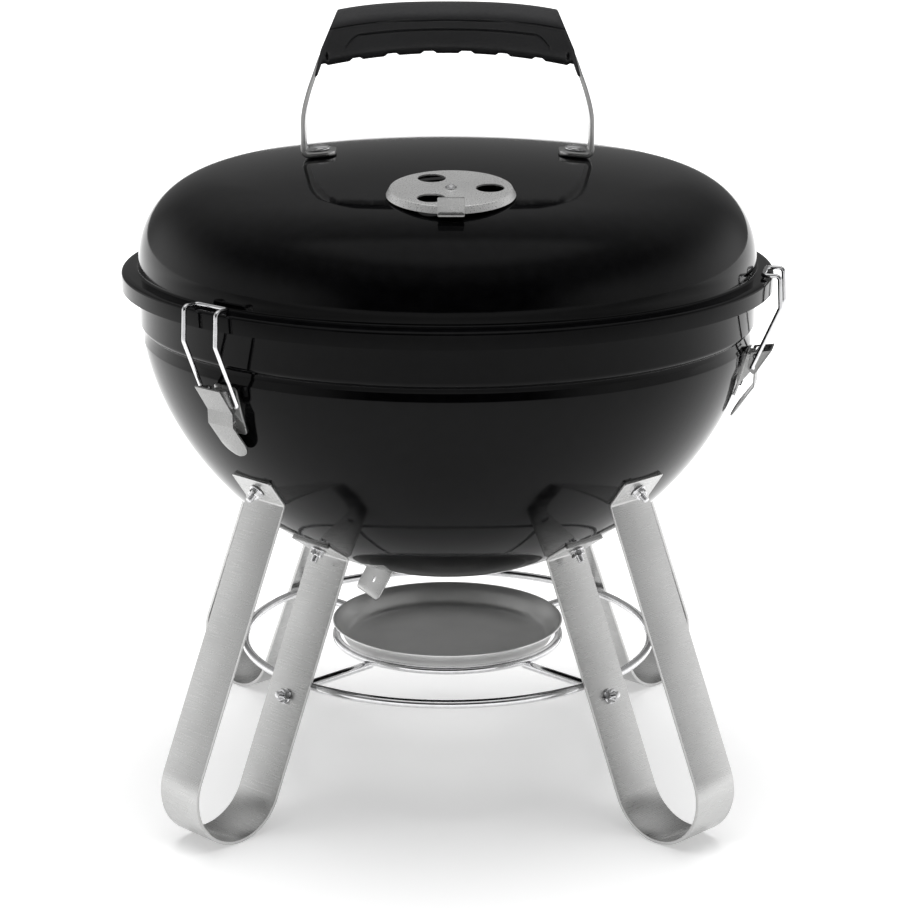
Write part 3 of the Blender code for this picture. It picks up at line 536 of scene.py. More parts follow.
def bowl_outline(kettle):
    """The bowl's outside from the rim's hem to the bottom's middle."""
    r, z = kettle.band_radius, kettle.band_bottom
    rim = 308.8 * MM
    hem = 189.4 * MM
    body = [(radius * MM, body_height(kettle, radius * MM)) for radius in
            (179.1, 178.3, 177, 175, 172.5, 169.5, 166, 162, 157, 151.5, 145, 138, 130, 121, 111, 100, 88, 75,
             61, 46, 30, 15)]
    top = rounded(
        [(hem, rim - 4 * MM), (hem, rim), (r, rim), (r, z + 1.2 * MM), (r - 2.9 * MM, z - 1.2 * MM),
         (r - 2.6 * MM, z - 4.5 * MM), (r - 1.8 * MM, 270 * MM), body[0]],
        [0.8 * MM, 1.4 * MM, 2.0 * MM, 1.6 * MM, 3 * MM, 0.8 * MM], 5)
    return [tuple(p) for p in top] + body[1:] + [(0, body_height(kettle, 0))]


# --- finishes ----------------------------------------------------------------------------------

def group_tree(name, sockets_in, sockets_out):
    tree = bpy.data.node_groups.new(name, "ShaderNodeTree")
    for label, kind, value in sockets_in:
        socket = tree.interface.new_socket(name=label, in_out="INPUT", socket_type=kind)
        socket.default_value = value
    for label, kind in sockets_out:
        tree.interface.new_socket(name=label, in_out="OUTPUT", socket_type=kind)
    start, end = tree.nodes.new("NodeGroupInput"), tree.nodes.new("NodeGroupOutput")
    return tree, start, end


def wire_up(tree, *links):
    for source, target in links:
        tree.links.new(source, target)


def ranged(tree, source, low, high):
    """Maps a noise value's middle part to low..high."""
    node = tree.nodes.new("ShaderNodeMapRange")
    node.inputs["From Min"].default_value = 0.3
    node.inputs["From Max"].default_value = 0.7
    wire_up(tree, (source, node.inputs["Value"]), (low, node.inputs["To Min"]), (high, node.inputs["To Max"]))
    return node.outputs["Result"]


def speckle_group():
    """Even, fine or coarse mottling: a value between Low and High, and a plain height."""
    tree, start, end = group_tree(
        "grill_mottling",
        [("Scale", "NodeSocketFloat", 100.0), ("Detail", "NodeSocketFloat", 2.0),
         ("Low", "NodeSocketFloat", 0.0), ("High", "NodeSocketFloat", 1.0)],
        [("Value", "NodeSocketFloat"), ("Height", "NodeSocketFloat")])
    place = tree.nodes.new("ShaderNodeTexCoord")
    noise = tree.nodes.new("ShaderNodeTexNoise")
    wire_up(tree, (place.outputs["Object"], noise.inputs["Vector"]),
            (start.outputs["Scale"], noise.inputs["Scale"]),
            (start.outputs["Detail"], noise.inputs["Detail"]))
    value = ranged(tree, noise.outputs["Fac"], start.outputs["Low"], start.outputs["High"])
    wire_up(tree, (value, end.inputs["Value"]), (noise.outputs["Fac"], end.inputs["Height"]))
    return tree


def brushing_group():
    """Long fine lines left by a belt: noise stretched along one way of the piece's own space."""
    tree, start, end = group_tree(
        "grill_brushing",
        [("Stretch", "NodeSocketVector", (40.0, 40.0, 1500.0)), ("Low", "NodeSocketFloat", 0.0),
         ("High", "NodeSocketFloat", 1.0)],
        [("Value", "NodeSocketFloat"), ("Height", "NodeSocketFloat")])
    place = tree.nodes.new("ShaderNodeTexCoord")
    stretch = tree.nodes.new("ShaderNodeVectorMath")
    stretch.operation = "MULTIPLY"
    noise = tree.nodes.new("ShaderNodeTexNoise")
    noise.inputs["Scale"].default_value = 1.0
    noise.inputs["Detail"].default_value = 3.0
    wire_up(tree, (place.outputs["Object"], stretch.inputs[0]), (start.outputs["Stretch"], stretch.inputs[1]),
            (stretch.outputs["Vector"], noise.inputs["Vector"]))
    value = ranged(tree, noise.outputs["Fac"], start.outputs["Low"], start.outputs["High"])
    wire_up(tree, (value, end.inputs["Value"]), (noise.outputs["Fac"], end.inputs["Height"]))
    return tree


def spun_group():
    """Rings left by a spinning tool: fine noise that depends on the distance from the piece's Z axis."""
    tree, start, end = group_tree(
        "grill_spun_rings",
        [("Fineness", "NodeSocketFloat", 1500.0), ("Low", "NodeSocketFloat", 0.0),
         ("High", "NodeSocketFloat", 1.0)],
        [("Value", "NodeSocketFloat"), ("Height", "NodeSocketFloat")])
    place = tree.nodes.new("ShaderNodeTexCoord")
    parts = tree.nodes.new("ShaderNodeSeparateXYZ")
    level = tree.nodes.new("ShaderNodeCombineXYZ")
    reach = tree.nodes.new("ShaderNodeVectorMath")
    reach.operation = "LENGTH"
    fine = tree.nodes.new("ShaderNodeMath")
    fine.operation = "MULTIPLY"
    noise = tree.nodes.new("ShaderNodeTexNoise")
    noise.noise_dimensions = "1D"
    noise.inputs["Scale"].default_value = 1.0
    noise.inputs["Detail"].default_value = 2.0
    wire_up(tree, (place.outputs["Object"], parts.inputs[0]), (parts.outputs["X"], level.inputs["X"]),
            (parts.outputs["Y"], level.inputs["Y"]), (level.outputs[0], reach.inputs[0]),
            (reach.outputs["Value"], fine.inputs[0]), (start.outputs["Fineness"], fine.inputs[1]),
            (fine.outputs[0], noise.inputs["W"]))
    value = ranged(tree, noise.outputs["Fac"], start.outputs["Low"], start.outputs["High"])
    wire_up(tree, (value, end.inputs["Value"]), (noise.outputs["Fac"], end.inputs["Height"]))
    return tree


GROUPS = {"mottling": speckle_group, "brushing": brushing_group, "spun": spun_group}


def effect(tree, kind, **values):
    """Places a shared effect group in a material with its own values."""
    name = {"mottling": "grill_mottling", "brushing": "grill_brushing", "spun": "grill_spun_rings"}[kind]
    group = bpy.data.node_groups.get(name) or GROUPS[kind]()
    node = tree.nodes.new("ShaderNodeGroup")
    node.node_tree = group
    for label, value in values.items():
        node.inputs[label].default_value = value
    return node


def new_material(name, base, metallic=0.0):
    material = bpy.data.materials.new(name)
    material.use_nodes = True
    shader = material.node_tree.nodes["Principled BSDF"]
    shader.inputs["Base Color"].default_value = (*base, 1)
    shader.inputs["Metallic"].default_value = metallic
    return material, material.node_tree, shader


def bumped(tree, shader, height, distance, strength=1.0):
    bump = tree.nodes.new("ShaderNodeBump")
    bump.inputs["Distance"].default_value = distance
    bump.inputs["Strength"].default_value = strength
    wire_up(tree, (height, bump.inputs["Height"]), (bump.outputs["Normal"], shader.inputs["Normal"]))


def mixed_colour(tree, shader, mask, first, second):
    """Base colour between two shades, by a mask."""
    mix = tree.nodes.new("ShaderNodeMix")
    mix.data_type = "RGBA"
    mix.inputs["A"].default_value = (*first, 1)
    mix.inputs["B"].default_value = (*second, 1)
    wire_up(tree, (mask, mix.inputs["Factor"]), (mix.outputs["Result"], shader.inputs["Base Color"]))


def scaled(base, factor):
    return tuple(min(1, c * factor) for c in base)


def enamel_finish(look):
    name = "porcelain_enamel"
    found = bpy.data.materials.get(name)
    if found:
        return found
    material, tree, shader = new_material(name, look.enamel)
    shader.inputs["IOR"].default_value = 1.21
    rough = look.enamel_roughness
    haze = effect(tree, "mottling", Scale=9.0, Detail=4.0, Low=rough * 0.7, High=rough * 1.5)
    wire_up(tree, (haze.outputs["Value"], shader.inputs["Roughness"]))
    shade = effect(tree, "mottling", Scale=160.0, Detail=2.0, Low=0.0, High=1.0)
    mixed_colour(tree, shader, shade.outputs["Value"], scaled(look.enamel, 0.7), scaled(look.enamel, 1.5))
    peel = effect(tree, "mottling", Scale=110.0, Detail=1.0)
    bumped(tree, shader, peel.outputs["Height"], 0.03 * MM, 0.5)
    return material


# Each steel: how its brushing is stretched along x, y and z (None where it is spun), its painted light tone
# (how much its colour is painted lighter or darker than the plain steel, 1 being none, to stand in for the
# light on the piece), how much of it is bare metal and how strong its relief is.
STEELS = {
    # lever_steel: colour painted darker than the plain steel, a painted shade.
    "lever_steel": {"stretch": (900.0, 900.0, 900.0), "painted_light_tone": 0.55, "metal": 0.9, "depth": 0.6},
    # satin_sheet: colour painted lighter than the plain steel, painted light on the top damper's disc.
    "satin_sheet": {"stretch": (1500.0, 1500.0, 1500.0), "painted_light_tone": 1.25, "metal": 0.72, "depth": 0.1},
    "strap_steel": {"stretch": (30.0, 1400.0, 30.0), "painted_light_tone": 1.0, "metal": 1.0, "depth": 0.6},
    "pressed_steel": {"stretch": (900.0, 60.0, 60.0), "painted_light_tone": 1.0, "metal": 1.0, "depth": 0.6},
    "leg_steel": {"stretch": (2400.0, 70.0, 2400.0), "painted_light_tone": 1.0, "metal": 0.9, "depth": 0.3},
    # dish_steel: colour painted lighter than the plain steel, painted light on the dish under the bowl.
    "dish_steel": {"stretch": None, "painted_light_tone": 1.45, "metal": 0.6, "depth": 0.2},
    "latch_steel": {"stretch": (300.0, 300.0, 300.0), "painted_light_tone": 1.0, "metal": 0.65, "depth": 0.6},
}


def steel_finish(look, name):
    """One of the steels in the table, made the first time that a piece asks for it."""
    found = bpy.data.materials.get(name)
    if found:
        return found
    stretch, painted_light_tone, metal, depth = STEELS[name].values()
    material, tree, shader = new_material(name, look.steel, metal)
    rough = look.steel_roughness
    if stretch is None:
        lines = effect(tree, "spun", Fineness=900.0, Low=rough * 1.1, High=rough * 1.35)
    else:
        lines = effect(tree, "brushing", Stretch=stretch, Low=rough * 0.8, High=rough * 1.25)
    wire_up(tree, (lines.outputs["Value"], shader.inputs["Roughness"]))
    cloud = effect(tree, "mottling", Scale=25.0, Detail=3.0, Low=0.0, High=1.0)
    # The steel's colour times its painted light tone (painted light or shade), with a random cloudiness on
    # top.
    mixed_colour(tree, shader, cloud.outputs["Value"],
                 scaled(look.steel, 0.94 * painted_light_tone), scaled(look.steel, 1.06 * painted_light_tone))
    bumped(tree, shader, lines.outputs["Height"], 0.02 * MM, depth)
    return material


def plated_finish(look):
    name = "bright_plating"
    found = bpy.data.materials.get(name)
    if found:
        return found
    material, tree, shader = new_material(name, look.plating, 1.0)
    rough = look.plating_roughness
    cloud = effect(tree, "mottling", Scale=120.0, Detail=3.0, Low=rough * 0.7, High=rough * 1.5)
    wire_up(tree, (cloud.outputs["Value"], shader.inputs["Roughness"]))
    shade = effect(tree, "mottling", Scale=300.0, Detail=2.0, Low=0.0, High=1.0)
    mixed_colour(tree, shader, shade.outputs["Value"], scaled(look.plating, 0.92), scaled(look.plating, 1.06))
    bumped(tree, shader, shade.outputs["Height"], 0.02 * MM, 0.4)
    return material


def grate_finish(look):
    name = "grate_plating"
    found = bpy.data.materials.get(name)
    if found:
        return found
    material, tree, shader = new_material(name, look.plating, 1.0)
    rough = look.plating_roughness
    cloud = effect(tree, "mottling", Scale=60.0, Detail=4.0, Low=rough * 1.4, High=rough * 2.6)
    wire_up(tree, (cloud.outputs["Value"], shader.inputs["Roughness"]))
    mixed_colour(tree, shader, cloud.outputs["Height"],
                 scaled(look.plating, 0.55), scaled(look.plating, 0.85))
    fine = effect(tree, "mottling", Scale=500.0, Detail=2.0)
    bumped(tree, shader, fine.outputs["Height"], 0.03 * MM, 0.5)
    return material


def plastic_finish(look):
    name = "moulded_plastic"
    found = bpy.data.materials.get(name)
    if found:
        return found
    material, tree, shader = new_material(name, look.plastic)
    rough = look.plastic_roughness
    cloud = effect(tree, "mottling", Scale=700.0, Detail=3.0, Low=rough * 0.85, High=rough * 1.2)
    wire_up(tree, (cloud.outputs["Value"], shader.inputs["Roughness"]))
    shade = effect(tree, "mottling", Scale=30.0, Detail=3.0, Low=0.0, High=1.0)
    mixed_colour(tree, shader, shade.outputs["Value"], scaled(look.plastic, 0.85), scaled(look.plastic, 1.2))
    bumped(tree, shader, cloud.outputs["Height"], 0.12 * MM, 0.6)
    return material


# --- bowl and lid ------------------------------------------------------------------------------

def build_bowl(scene):
    kettle, look = scene.grill_kettle, scene.grill_finish
    outside = bowl_outline(kettle)
    profile = walled(outside, -kettle.sheet)
    work = lathe(profile, kettle.round_steps)
    arm = LOW_ARM_AZIMUTH
    bottom = BOWL_LOW.z
    rods = []
    for turn in (0, 120, 240):
        spot = around(arm + turn) @ Vector((kettle.vent_place, 0, bottom))
        rods.append((spot - Vector((0, 0, 10 * MM)), spot + Vector((0, 0, 20 * MM)), kettle.vent_radius))
    work = cut(work, rods)
    piece("bowl_shell", work, enamel_finish(look), "kettle", ["bowl"])


def damper_frame():
    """The top damper's frame on the lid, from the joint's own pivot and axis."""
    spot = Vector(JOINTS["top_damper_turn"]["pos_m"])
    axis = Vector(JOINTS["top_damper_turn"]["axis"])
    slope = math.atan2(-axis.y, axis.z)
    return Matrix.Translation(spot) @ Matrix.Rotation(slope, 4, "X")


def three_round(distance):
    """Three evenly spaced (x, y) places round an axis, the first of them on +X."""
    for i in range(3):
        t = math.tau * i / 3
        yield distance * math.cos(t), distance * math.sin(t)


def build_lid(scene):
    kettle, look, damper = scene.grill_kettle, scene.grill_finish, scene.grill_damper
    work = lathe(walled(lid_outline(kettle), kettle.sheet), kettle.round_steps)
    turn = damper_frame()
    rods = [(turn @ Vector((x, y, -8 * MM)), turn @ Vector((x, y, 4 * MM)), damper.vent_radius - 0.4 * MM)
            for x, y in three_round(damper.vent_place)]
    work = cut(work, rods)
    piece("lid_shell", work, enamel_finish(look), "lid", ["lid"])


# --- top damper --------------------------------------------------------------------------------

def build_top_damper(scene):
    kettle, look, damper = scene.grill_kettle, scene.grill_finish, scene.grill_damper
    turn = damper_frame()
    sheet = 0.9 * MM
    top, foot, high = damper.top_radius, damper.foot_radius, damper.height
    low = 0.45 * MM
    outside = rounded([(0, high), (top, high), (foot, low)], 0.5 * MM, 6)
    work = lathe(walled(outside, sheet), 96)
    rods = [((0, 0, -MM), (0, 0, 10 * MM), 2.4 * MM)]
    rods += [((x, y, -MM), (x, y, 10 * MM), damper.vent_radius) for x, y in three_round(damper.vent_place)]
    work = cut(work, rods)
    quarter = Matrix.Rotation(math.radians(90), 4, "Z")
    plate = rounded([(-(foot + 3.2 * MM), 0.45 * MM), (-(foot + 0.6 * MM), 0.5 * MM),
                     (-(foot + 2.2 * MM), damper.tab_height)], 0.7 * MM, 5)
    tab = strap(plate, damper.tab_width, sheet, 0.5 * MM, 0.2 * MM)
    bmesh.ops.transform(tab, matrix=quarter, verts=tab.verts)
    piece("top_damper_tab", tab, steel_finish(look, "lever_steel"), "top_damper", at=turn)
    lip = [(-(foot - 0.6 * MM), 0.6 * MM), (-(foot + 1.2 * MM), 0.55 * MM)]
    join(work, strap(lip, damper.tab_width - 0.6 * MM, 0.7 * MM, 0.3 * MM, 0.15 * MM), quarter)
    piece("top_damper_disc", work, steel_finish(look, "satin_sheet"), "top_damper",
          ["top_damper"], turn)
    seat = high + GAP
    head = rounded([(0, seat + 3.2 * MM), (0.5 * MM, seat + 1.8 * MM), (1.9 * MM, seat + 1.1 * MM),
                    (2.5 * MM, seat + 0.3 * MM)], 0.3 * MM, 4)
    head += [Vector((3.2 * MM, seat + 0.25 * MM))]
    sheet_under = -kettle.sheet - GAP
    outline = [tuple(p) for p in head] + [
        (3.2 * MM, seat), (2 * MM, seat), (2 * MM, sheet_under - 0.2 * MM),
        (4 * MM, sheet_under - 0.2 * MM), (3.6 * MM, sheet_under - 1.2 * MM), (0, sheet_under - 1.6 * MM)]
    piece("top_damper_rivet_head", lathe(outline, 40), plated_finish(look), "lid", ["top_damper_rivet"],
          turn)


# --- fasteners ---------------------------------------------------------------------------------

def thread(radius, low, high, pitch=0.7 * MM):
    """The stepped outline of a screw thread from high to low, on the (radius, height) side."""
    points = []
    z = high
    while z > low + pitch:
        points += [(radius, z), (radius, z - pitch * 0.3), (radius - 0.28 * MM, z - pitch * 0.6)]
        z -= pitch
    return points + [(radius - 0.1 * MM, z), (radius - 0.4 * MM, low)]


def bolt(name, body, node, place, along, reach, look, head_r=4.2 * MM, head_h=2.4 * MM, bare=6 * MM):
    """A domed bolt. place is under its head, along is the way its thread points."""
    dome = [(head_r * math.sin(math.radians(a)), head_h * (0.18 + 0.82 * math.cos(math.radians(a))))
            for a in range(0, 91, 15)]
    radius = 2.0 * MM
    outline = [(0, dome[0][1])] + dome[1:] + [(head_r, 0), (radius, 0), (radius, -reach + bare)]
    outline += thread(radius, -reach, -reach + bare - 0.2 * MM) + [(0, -reach)]
    piece(name, lathe(outline, 32), plated_finish(look), body, [node],
          facing(place, -Vector(along)), crease=40)


def level_circle(work, radius, height, count):
    """Adds the corners of a level circle."""
    turns = [math.tau * i / count for i in range(count)]
    return [work.verts.new((radius * math.cos(t), radius * math.sin(t), height)) for t in turns]


def nut(name, body, node, place, along, look, across=7 * MM, high=3.2 * MM, washer_r=4.6 * MM, spin=0.0):
    """A chamfered hexagon nut on its washer. place is the washer's face, along is outwards."""
    work = bmesh.new()
    bore, washer = 2.12 * MM, 1.0 * MM
    corner = across / math.sqrt(3)
    flat_r = across / 2
    rows = []
    count = 48
    for z, limit in ((washer, flat_r + 0.05 * MM), (washer + 0.45 * MM, corner),
                     (washer + high - 0.5 * MM, corner), (washer + high, flat_r - 0.05 * MM)):
        ring_now = []
        for i in range(count):
            t = math.tau * i / count
            sector = math.pi / 3
            local = (t % sector) - sector / 2
            reach = min(flat_r / math.cos(local), limit)
            ring_now.append(work.verts.new((reach * math.cos(t), reach * math.sin(t), z)))
        rows.append(ring_now)
    inner = [level_circle(work, r, z, count) for z, r in (
        (washer + high, bore + 0.35 * MM), (washer + high - 0.35 * MM, bore), (0.0, bore))]
    outer = [level_circle(work, r, z, count) for z, r in (
        (0.0, washer_r - 0.2 * MM), (0.2 * MM, washer_r), (washer - 0.2 * MM, washer_r),
        (washer, washer_r - 0.2 * MM))]
    loops = inner[-1:] + outer + rows + inner[:2]
    for a, b in zip(loops, loops[1:] + loops[:1]):
        for i in range(count):
            j = (i + 1) % count
            work.faces.new((a[i], a[j], b[j], b[i]))
    piece(name, work, plated_finish(look), body, [node],
          facing(place, along) @ Matrix.Rotation(spin, 4, "Z"), crease=25)


# --- handle ------------------------------------------------------------------------------------

def strap_path(kettle, handle):
    """The strap's middle line from the left foot over the grip's inside to the right foot, in (x, z)."""
    lift = GAP + handle.strap_thick / 2 + 0.35 * MM
    end_x = handle.screw_place - 9.5 * MM
    corner_x = 84.4 * MM
    foot = [(end_x, crown_height(kettle, end_x) + lift), (corner_x, crown_height(kettle, corner_x) + lift)]
    rise = smooth_chain([(84.3 * MM, 388 * MM), (84.0 * MM, 400 * MM), (81.2 * MM, 412 * MM),
                         (77.0 * MM, 424 * MM), (72.4 * MM, 436 * MM), (66.0 * MM, 447.5 * MM)], 4)
    chain = [Vector(p) for p in foot] + rise + [Vector((30 * MM, 451.5 * MM)), Vector((0, 452.3 * MM))]
    radii = [3.2 * MM] + [0] * (len(rise) - 1) + [4 * MM, 0]
    half = rounded(chain, radii, 6)
    return half + [Vector((-p.x, p.y)) for p in reversed(half[:-1])]


def build_handle_strap(scene):
    kettle, look, handle = scene.grill_kettle, scene.grill_finish, scene.grill_handle
    path = strap_path(kettle, handle)
    work = strap(path, handle.strap_width, handle.strap_thick, 7 * MM, 0.5 * MM)
    piece("handle_strap_bar", work, steel_finish(look, "strap_steel"), "lid", ["handle_strap"])
    for side, where in ((-1, "left"), (1, "right")):
        lean = Vector((side * handle.screw_place / kettle.crown_radius, 0, 1)).normalized()
        foot = Vector((side * handle.screw_place, 0, crown_height(kettle, handle.screw_place)))
        head = foot + lean * (handle.strap_thick + 4 * GAP + 0.1 * MM)
        bolt(f"handle_screw_{where}_dome", "lid", f"handle_screw_{where}", head, -lean, 12.5 * MM, look,
             6.3 * MM, 2.4 * MM, bare=8 * MM)
        seat = foot - lean * (kettle.sheet + GAP + 0.1 * MM)
        nut(f"handle_nut_{where}_hex", "lid", f"handle_nut_{where}", seat, -lean, look)


def grip_edges(x):
    """The grip's lowest and highest z at x: an arch, thinner towards its ends."""
    half, middle_low = 74 * MM, 437.5 * MM
    low_drop, high_drop, high_curl = 8.0 * MM, 2.0 * MM, 5.0 * MM
    t = abs(x) / half
    return middle_low - low_drop * t ** 2, GRIP_HIGH.z - high_curl * t ** 3 - high_drop * t ** 2


def smooth_step(low, high, value):
    t = max(0.0, min(1.0, (value - low) / (high - low)))
    return t * t * (3 - 2 * t)


def groove(distance, width):
    """1 in the middle of a moulded line, 0 outside its width."""
    return max(0.0, 1 - (distance / width) ** 2) ** 2


def finger_ridge(x, spacing=22.0 * MM, half=8.2 * MM):
    """1 along each flat ridge between two fingers, 0 in the finger hollows."""
    best = 0.0
    for i in range(-3, 4):
        centre = i * spacing - math.copysign(abs(i) ** 2 * 0.35 * MM, i)
        best = max(best, 1 - smooth_step(half - 2.2 * MM, half, abs(x - centre)))
    return best


def grip_outline(power=8.3, sides=46, flats=14):
    """A rounded rectangle as (across, up) pairs: across -1 to 1, up 0 to 1, evenly spaced up both sides."""
    def bulge(value):
        return max(0.0, 1 - abs(value) ** power) ** (1 / power)
    tall = [-0.985 + 1.97 * k / (sides - 1) for k in range(sides)]
    wide = [-0.8 + 1.6 * k / (flats - 1) for k in range(flats)]
    right = [(bulge(v), (v + 1) / 2) for v in tall]
    top = [(-v, (1 + bulge(v)) / 2) for v in wide]
    left = [(-bulge(v), (1 - v) / 2) for v in tall]
    bottom = [(v, (1 - bulge(v)) / 2) for v in wide]
    return right + top + left + bottom


def build_grip(scene):
    """A lofted arch: level rings across, a sloped cap, a raised front and back panel, finger ridges below."""
    look, handle = scene.grill_finish, scene.grill_handle
    half_deep = handle.grip_depth / 2
    work = bmesh.new()
    outline = grip_outline()
    across_count, stations = len(outline), 190
    rings = []
    for s in range(stations + 1):
        u = -1 + 2 * s / stations
        u = math.copysign(1 - (1 - abs(u)) ** 1.12, u)
        ring_now = []
        for across, up in outline:
            reach = handle.grip_low_half + (handle.grip_top_half - handle.grip_low_half) * up
            x = u * reach
            low, high = grip_edges(x)
            end = smooth_step(1 - 0.035, 1.0, abs(u))
            z = low + (high - low) * up
            cap = high - 9.0 * MM
            deep = half_deep - 1.0 * MM * smooth_step(low, cap, z)
            if z > cap:
                over = (z - cap) / (high - cap)
                deep -= 6.2 * MM * over ** 1.7
            y = across * deep * (1 - 0.05 * end)
            if abs(across) > 0.7 and low + 1.0 * MM < z < cap + 1.5 * MM:
                way = math.copysign(1, across)
                seam = groove(z - cap, 0.7 * MM)
                side_fall = (abs(x) - 50 * MM) / (11 * MM)
                panel_top = low + (high - low) * 0.47 - 9 * MM * max(0.0, side_fall) ** 2
                on_panel = 1 - smooth_step(58 * MM, 61 * MM, abs(x))
                line = groove(z - panel_top, 0.8 * MM) * on_panel
                inside = 0.6 * MM * smooth_step(0, 1.2 * MM, panel_top - z) * on_panel
                slot = groove(abs(x) - 69.5 * MM, 1.1 * MM) * groove(z - low - 4.2 * MM, 3.4 * MM)
                y -= way * (0.9 * MM * seam + 1.0 * MM * line + 2.2 * MM * slot + 0.5 * inside)
            if up < 0.06:
                z -= handle.finger_depth * finger_ridge(x) * (1 - up / 0.06)
            if abs(u) > 0.93 and up < 0.3:
                z -= 6.5 * MM * smooth_step(0.945, 0.985, abs(u)) * (1 - up / 0.3)
            ring_now.append(work.verts.new((x, y, z)))
        rings.append(ring_now)
    for a, b in zip(rings, rings[1:]):
        for i in range(across_count):
            j = (i + 1) % across_count
            work.faces.new((a[i], b[i], b[j], a[j]))
    for edge_ring, outwards in ((rings[0], -1), (rings[-1], 1)):
        middle = sum((v.co for v in edge_ring), Vector()) / across_count
        inner = []
        for v in edge_ring:
            spot = v.co.lerp(middle, 0.06)
            spot.x += outwards * 0.25 * MM
            inner.append(work.verts.new(spot))
        for i in range(across_count):
            j = (i + 1) % across_count
            work.faces.new((edge_ring[i], edge_ring[j], inner[j], inner[i]))
        work.faces.new(inner)
    piece("handle_grip_moulding", work, plastic_finish(look), "lid", ["handle_grip"], crease=50)


# --- bottom damper -----------------------------------------------------------------------------

def build_bottom_damper(scene):
    kettle, look, damper = scene.grill_kettle, scene.grill_finish, scene.grill_damper
    turn = around(LOW_ARM_AZIMUTH)
    lift, sheet = GAP + 0.3 * MM, 1.0 * MM
    edge = damper.low_radius
    face = [(edge * i / 8, body_height(kettle, edge * i / 8) - lift) for i in range(9)]
    work = lathe(walled(face, sheet), 80)
    bottom = body_height(kettle, 0)
    rods = [((x, y, bottom - 12 * MM), (x, y, bottom + 12 * MM), kettle.vent_radius + 0.4 * MM)
            for x, y in three_round(kettle.vent_place)]
    work = cut(work, rods)
    fold, drop = damper.low_fold, damper.low_tab_drop
    slant = math.radians(30)
    level = body_height(kettle, fold) - lift
    arm = rounded([
        (29 * MM, body_height(kettle, 29 * MM) - lift - sheet / 2), (fold, level - 0.9 * MM),
        (fold + drop * math.sin(slant), level - drop * math.cos(slant))], 2 * MM, 8)
    path = spread([(p.x, p.y) for p in arm], 1.2 * MM)
    plate = strap(path, damper.low_tab_width, sheet, 3.2 * MM, 0.2 * MM)
    middle = Vector((fold + 5.5 * MM, 0, level - 9.5 * MM))
    away = Vector((math.cos(slant), 0, math.sin(slant))) * 6 * MM
    plate = cut(plate, [(middle - away, middle + away, 2.6 * MM)], 4)
    join(work, plate)
    piece("bottom_damper_plate", work, steel_finish(look, "pressed_steel"), "bottom_damper",
          ["bottom_damper"], turn)
    seat = bottom + kettle.sheet
    low = bottom - lift - sheet - GAP
    outline = [
        (0, seat + 2.4 * MM), (2 * MM, seat + 2.2 * MM), (3.6 * MM, seat + 1.5 * MM),
        (4 * MM, seat + GAP + 0.1 * MM), (2 * MM, seat + GAP + 0.1 * MM), (2 * MM, low), (4.2 * MM, low),
        (3.9 * MM, low - 0.9 * MM), (2.8 * MM, low - 1.7 * MM), (0, low - 2 * MM)]
    piece("bottom_damper_rivet_head", lathe(outline, 32), plated_finish(look), "kettle",
          ["bottom_damper_rivet"])


# --- legs, rack and dish -----------------------------------------------------------------------

def leg_chain(kettle, leg):
    """The strip's middle line in (x, z): outer tab, outer run, U-bend on the ground, inner run, inner tab."""
    down = Vector((math.sin(leg.lean), -math.cos(leg.lean)))
    side = Vector((math.cos(leg.lean), math.sin(leg.lean)))
    out = GAP + leg.thick / 2
    outer_mid, _, outer_up = body_point(kettle, leg.outer_bolt, out)
    inner_mid, _, inner_up = body_point(kettle, leg.inner_bolt, out)
    outer_fold = outer_mid - outer_up * leg.tab_half
    inner_fold = inner_mid - inner_up * leg.tab_half
    bend_r = (outer_fold - inner_fold).dot(side) / 2
    centre_z = bend_r + leg.thick / 2
    along = (outer_fold.y - centre_z - bend_r * side.y) / math.cos(leg.lean)
    centre = outer_fold + down * along - side * bend_r
    bend = []
    for i in range(37):
        a = leg.lean - math.pi * i / 36
        bend.append(centre + Vector((math.cos(a), math.sin(a))) * bend_r)
    outer_end = outer_mid + outer_up * leg.tab_half
    inner_end = inner_mid + inner_up * leg.tab_half
    top = rounded([outer_end, outer_fold, bend[0]], 2.5 * MM, 8)
    tail = rounded([bend[-1], inner_fold, inner_end], 2.5 * MM, 8)
    return top[:-1] + bend + tail[1:], inner_fold


def rack_bolt_line(kettle, leg):
    """Where the rack's bolt crosses the inner run's middle, and the way its thread points."""
    _, inner_fold = leg_chain(kettle, leg)
    side = Vector((math.cos(leg.lean), math.sin(leg.lean)))
    run = (inner_fold.y - leg.rack_bolt) / math.cos(leg.lean)
    return inner_fold + Vector((math.sin(leg.lean), -math.cos(leg.lean))) * run, side


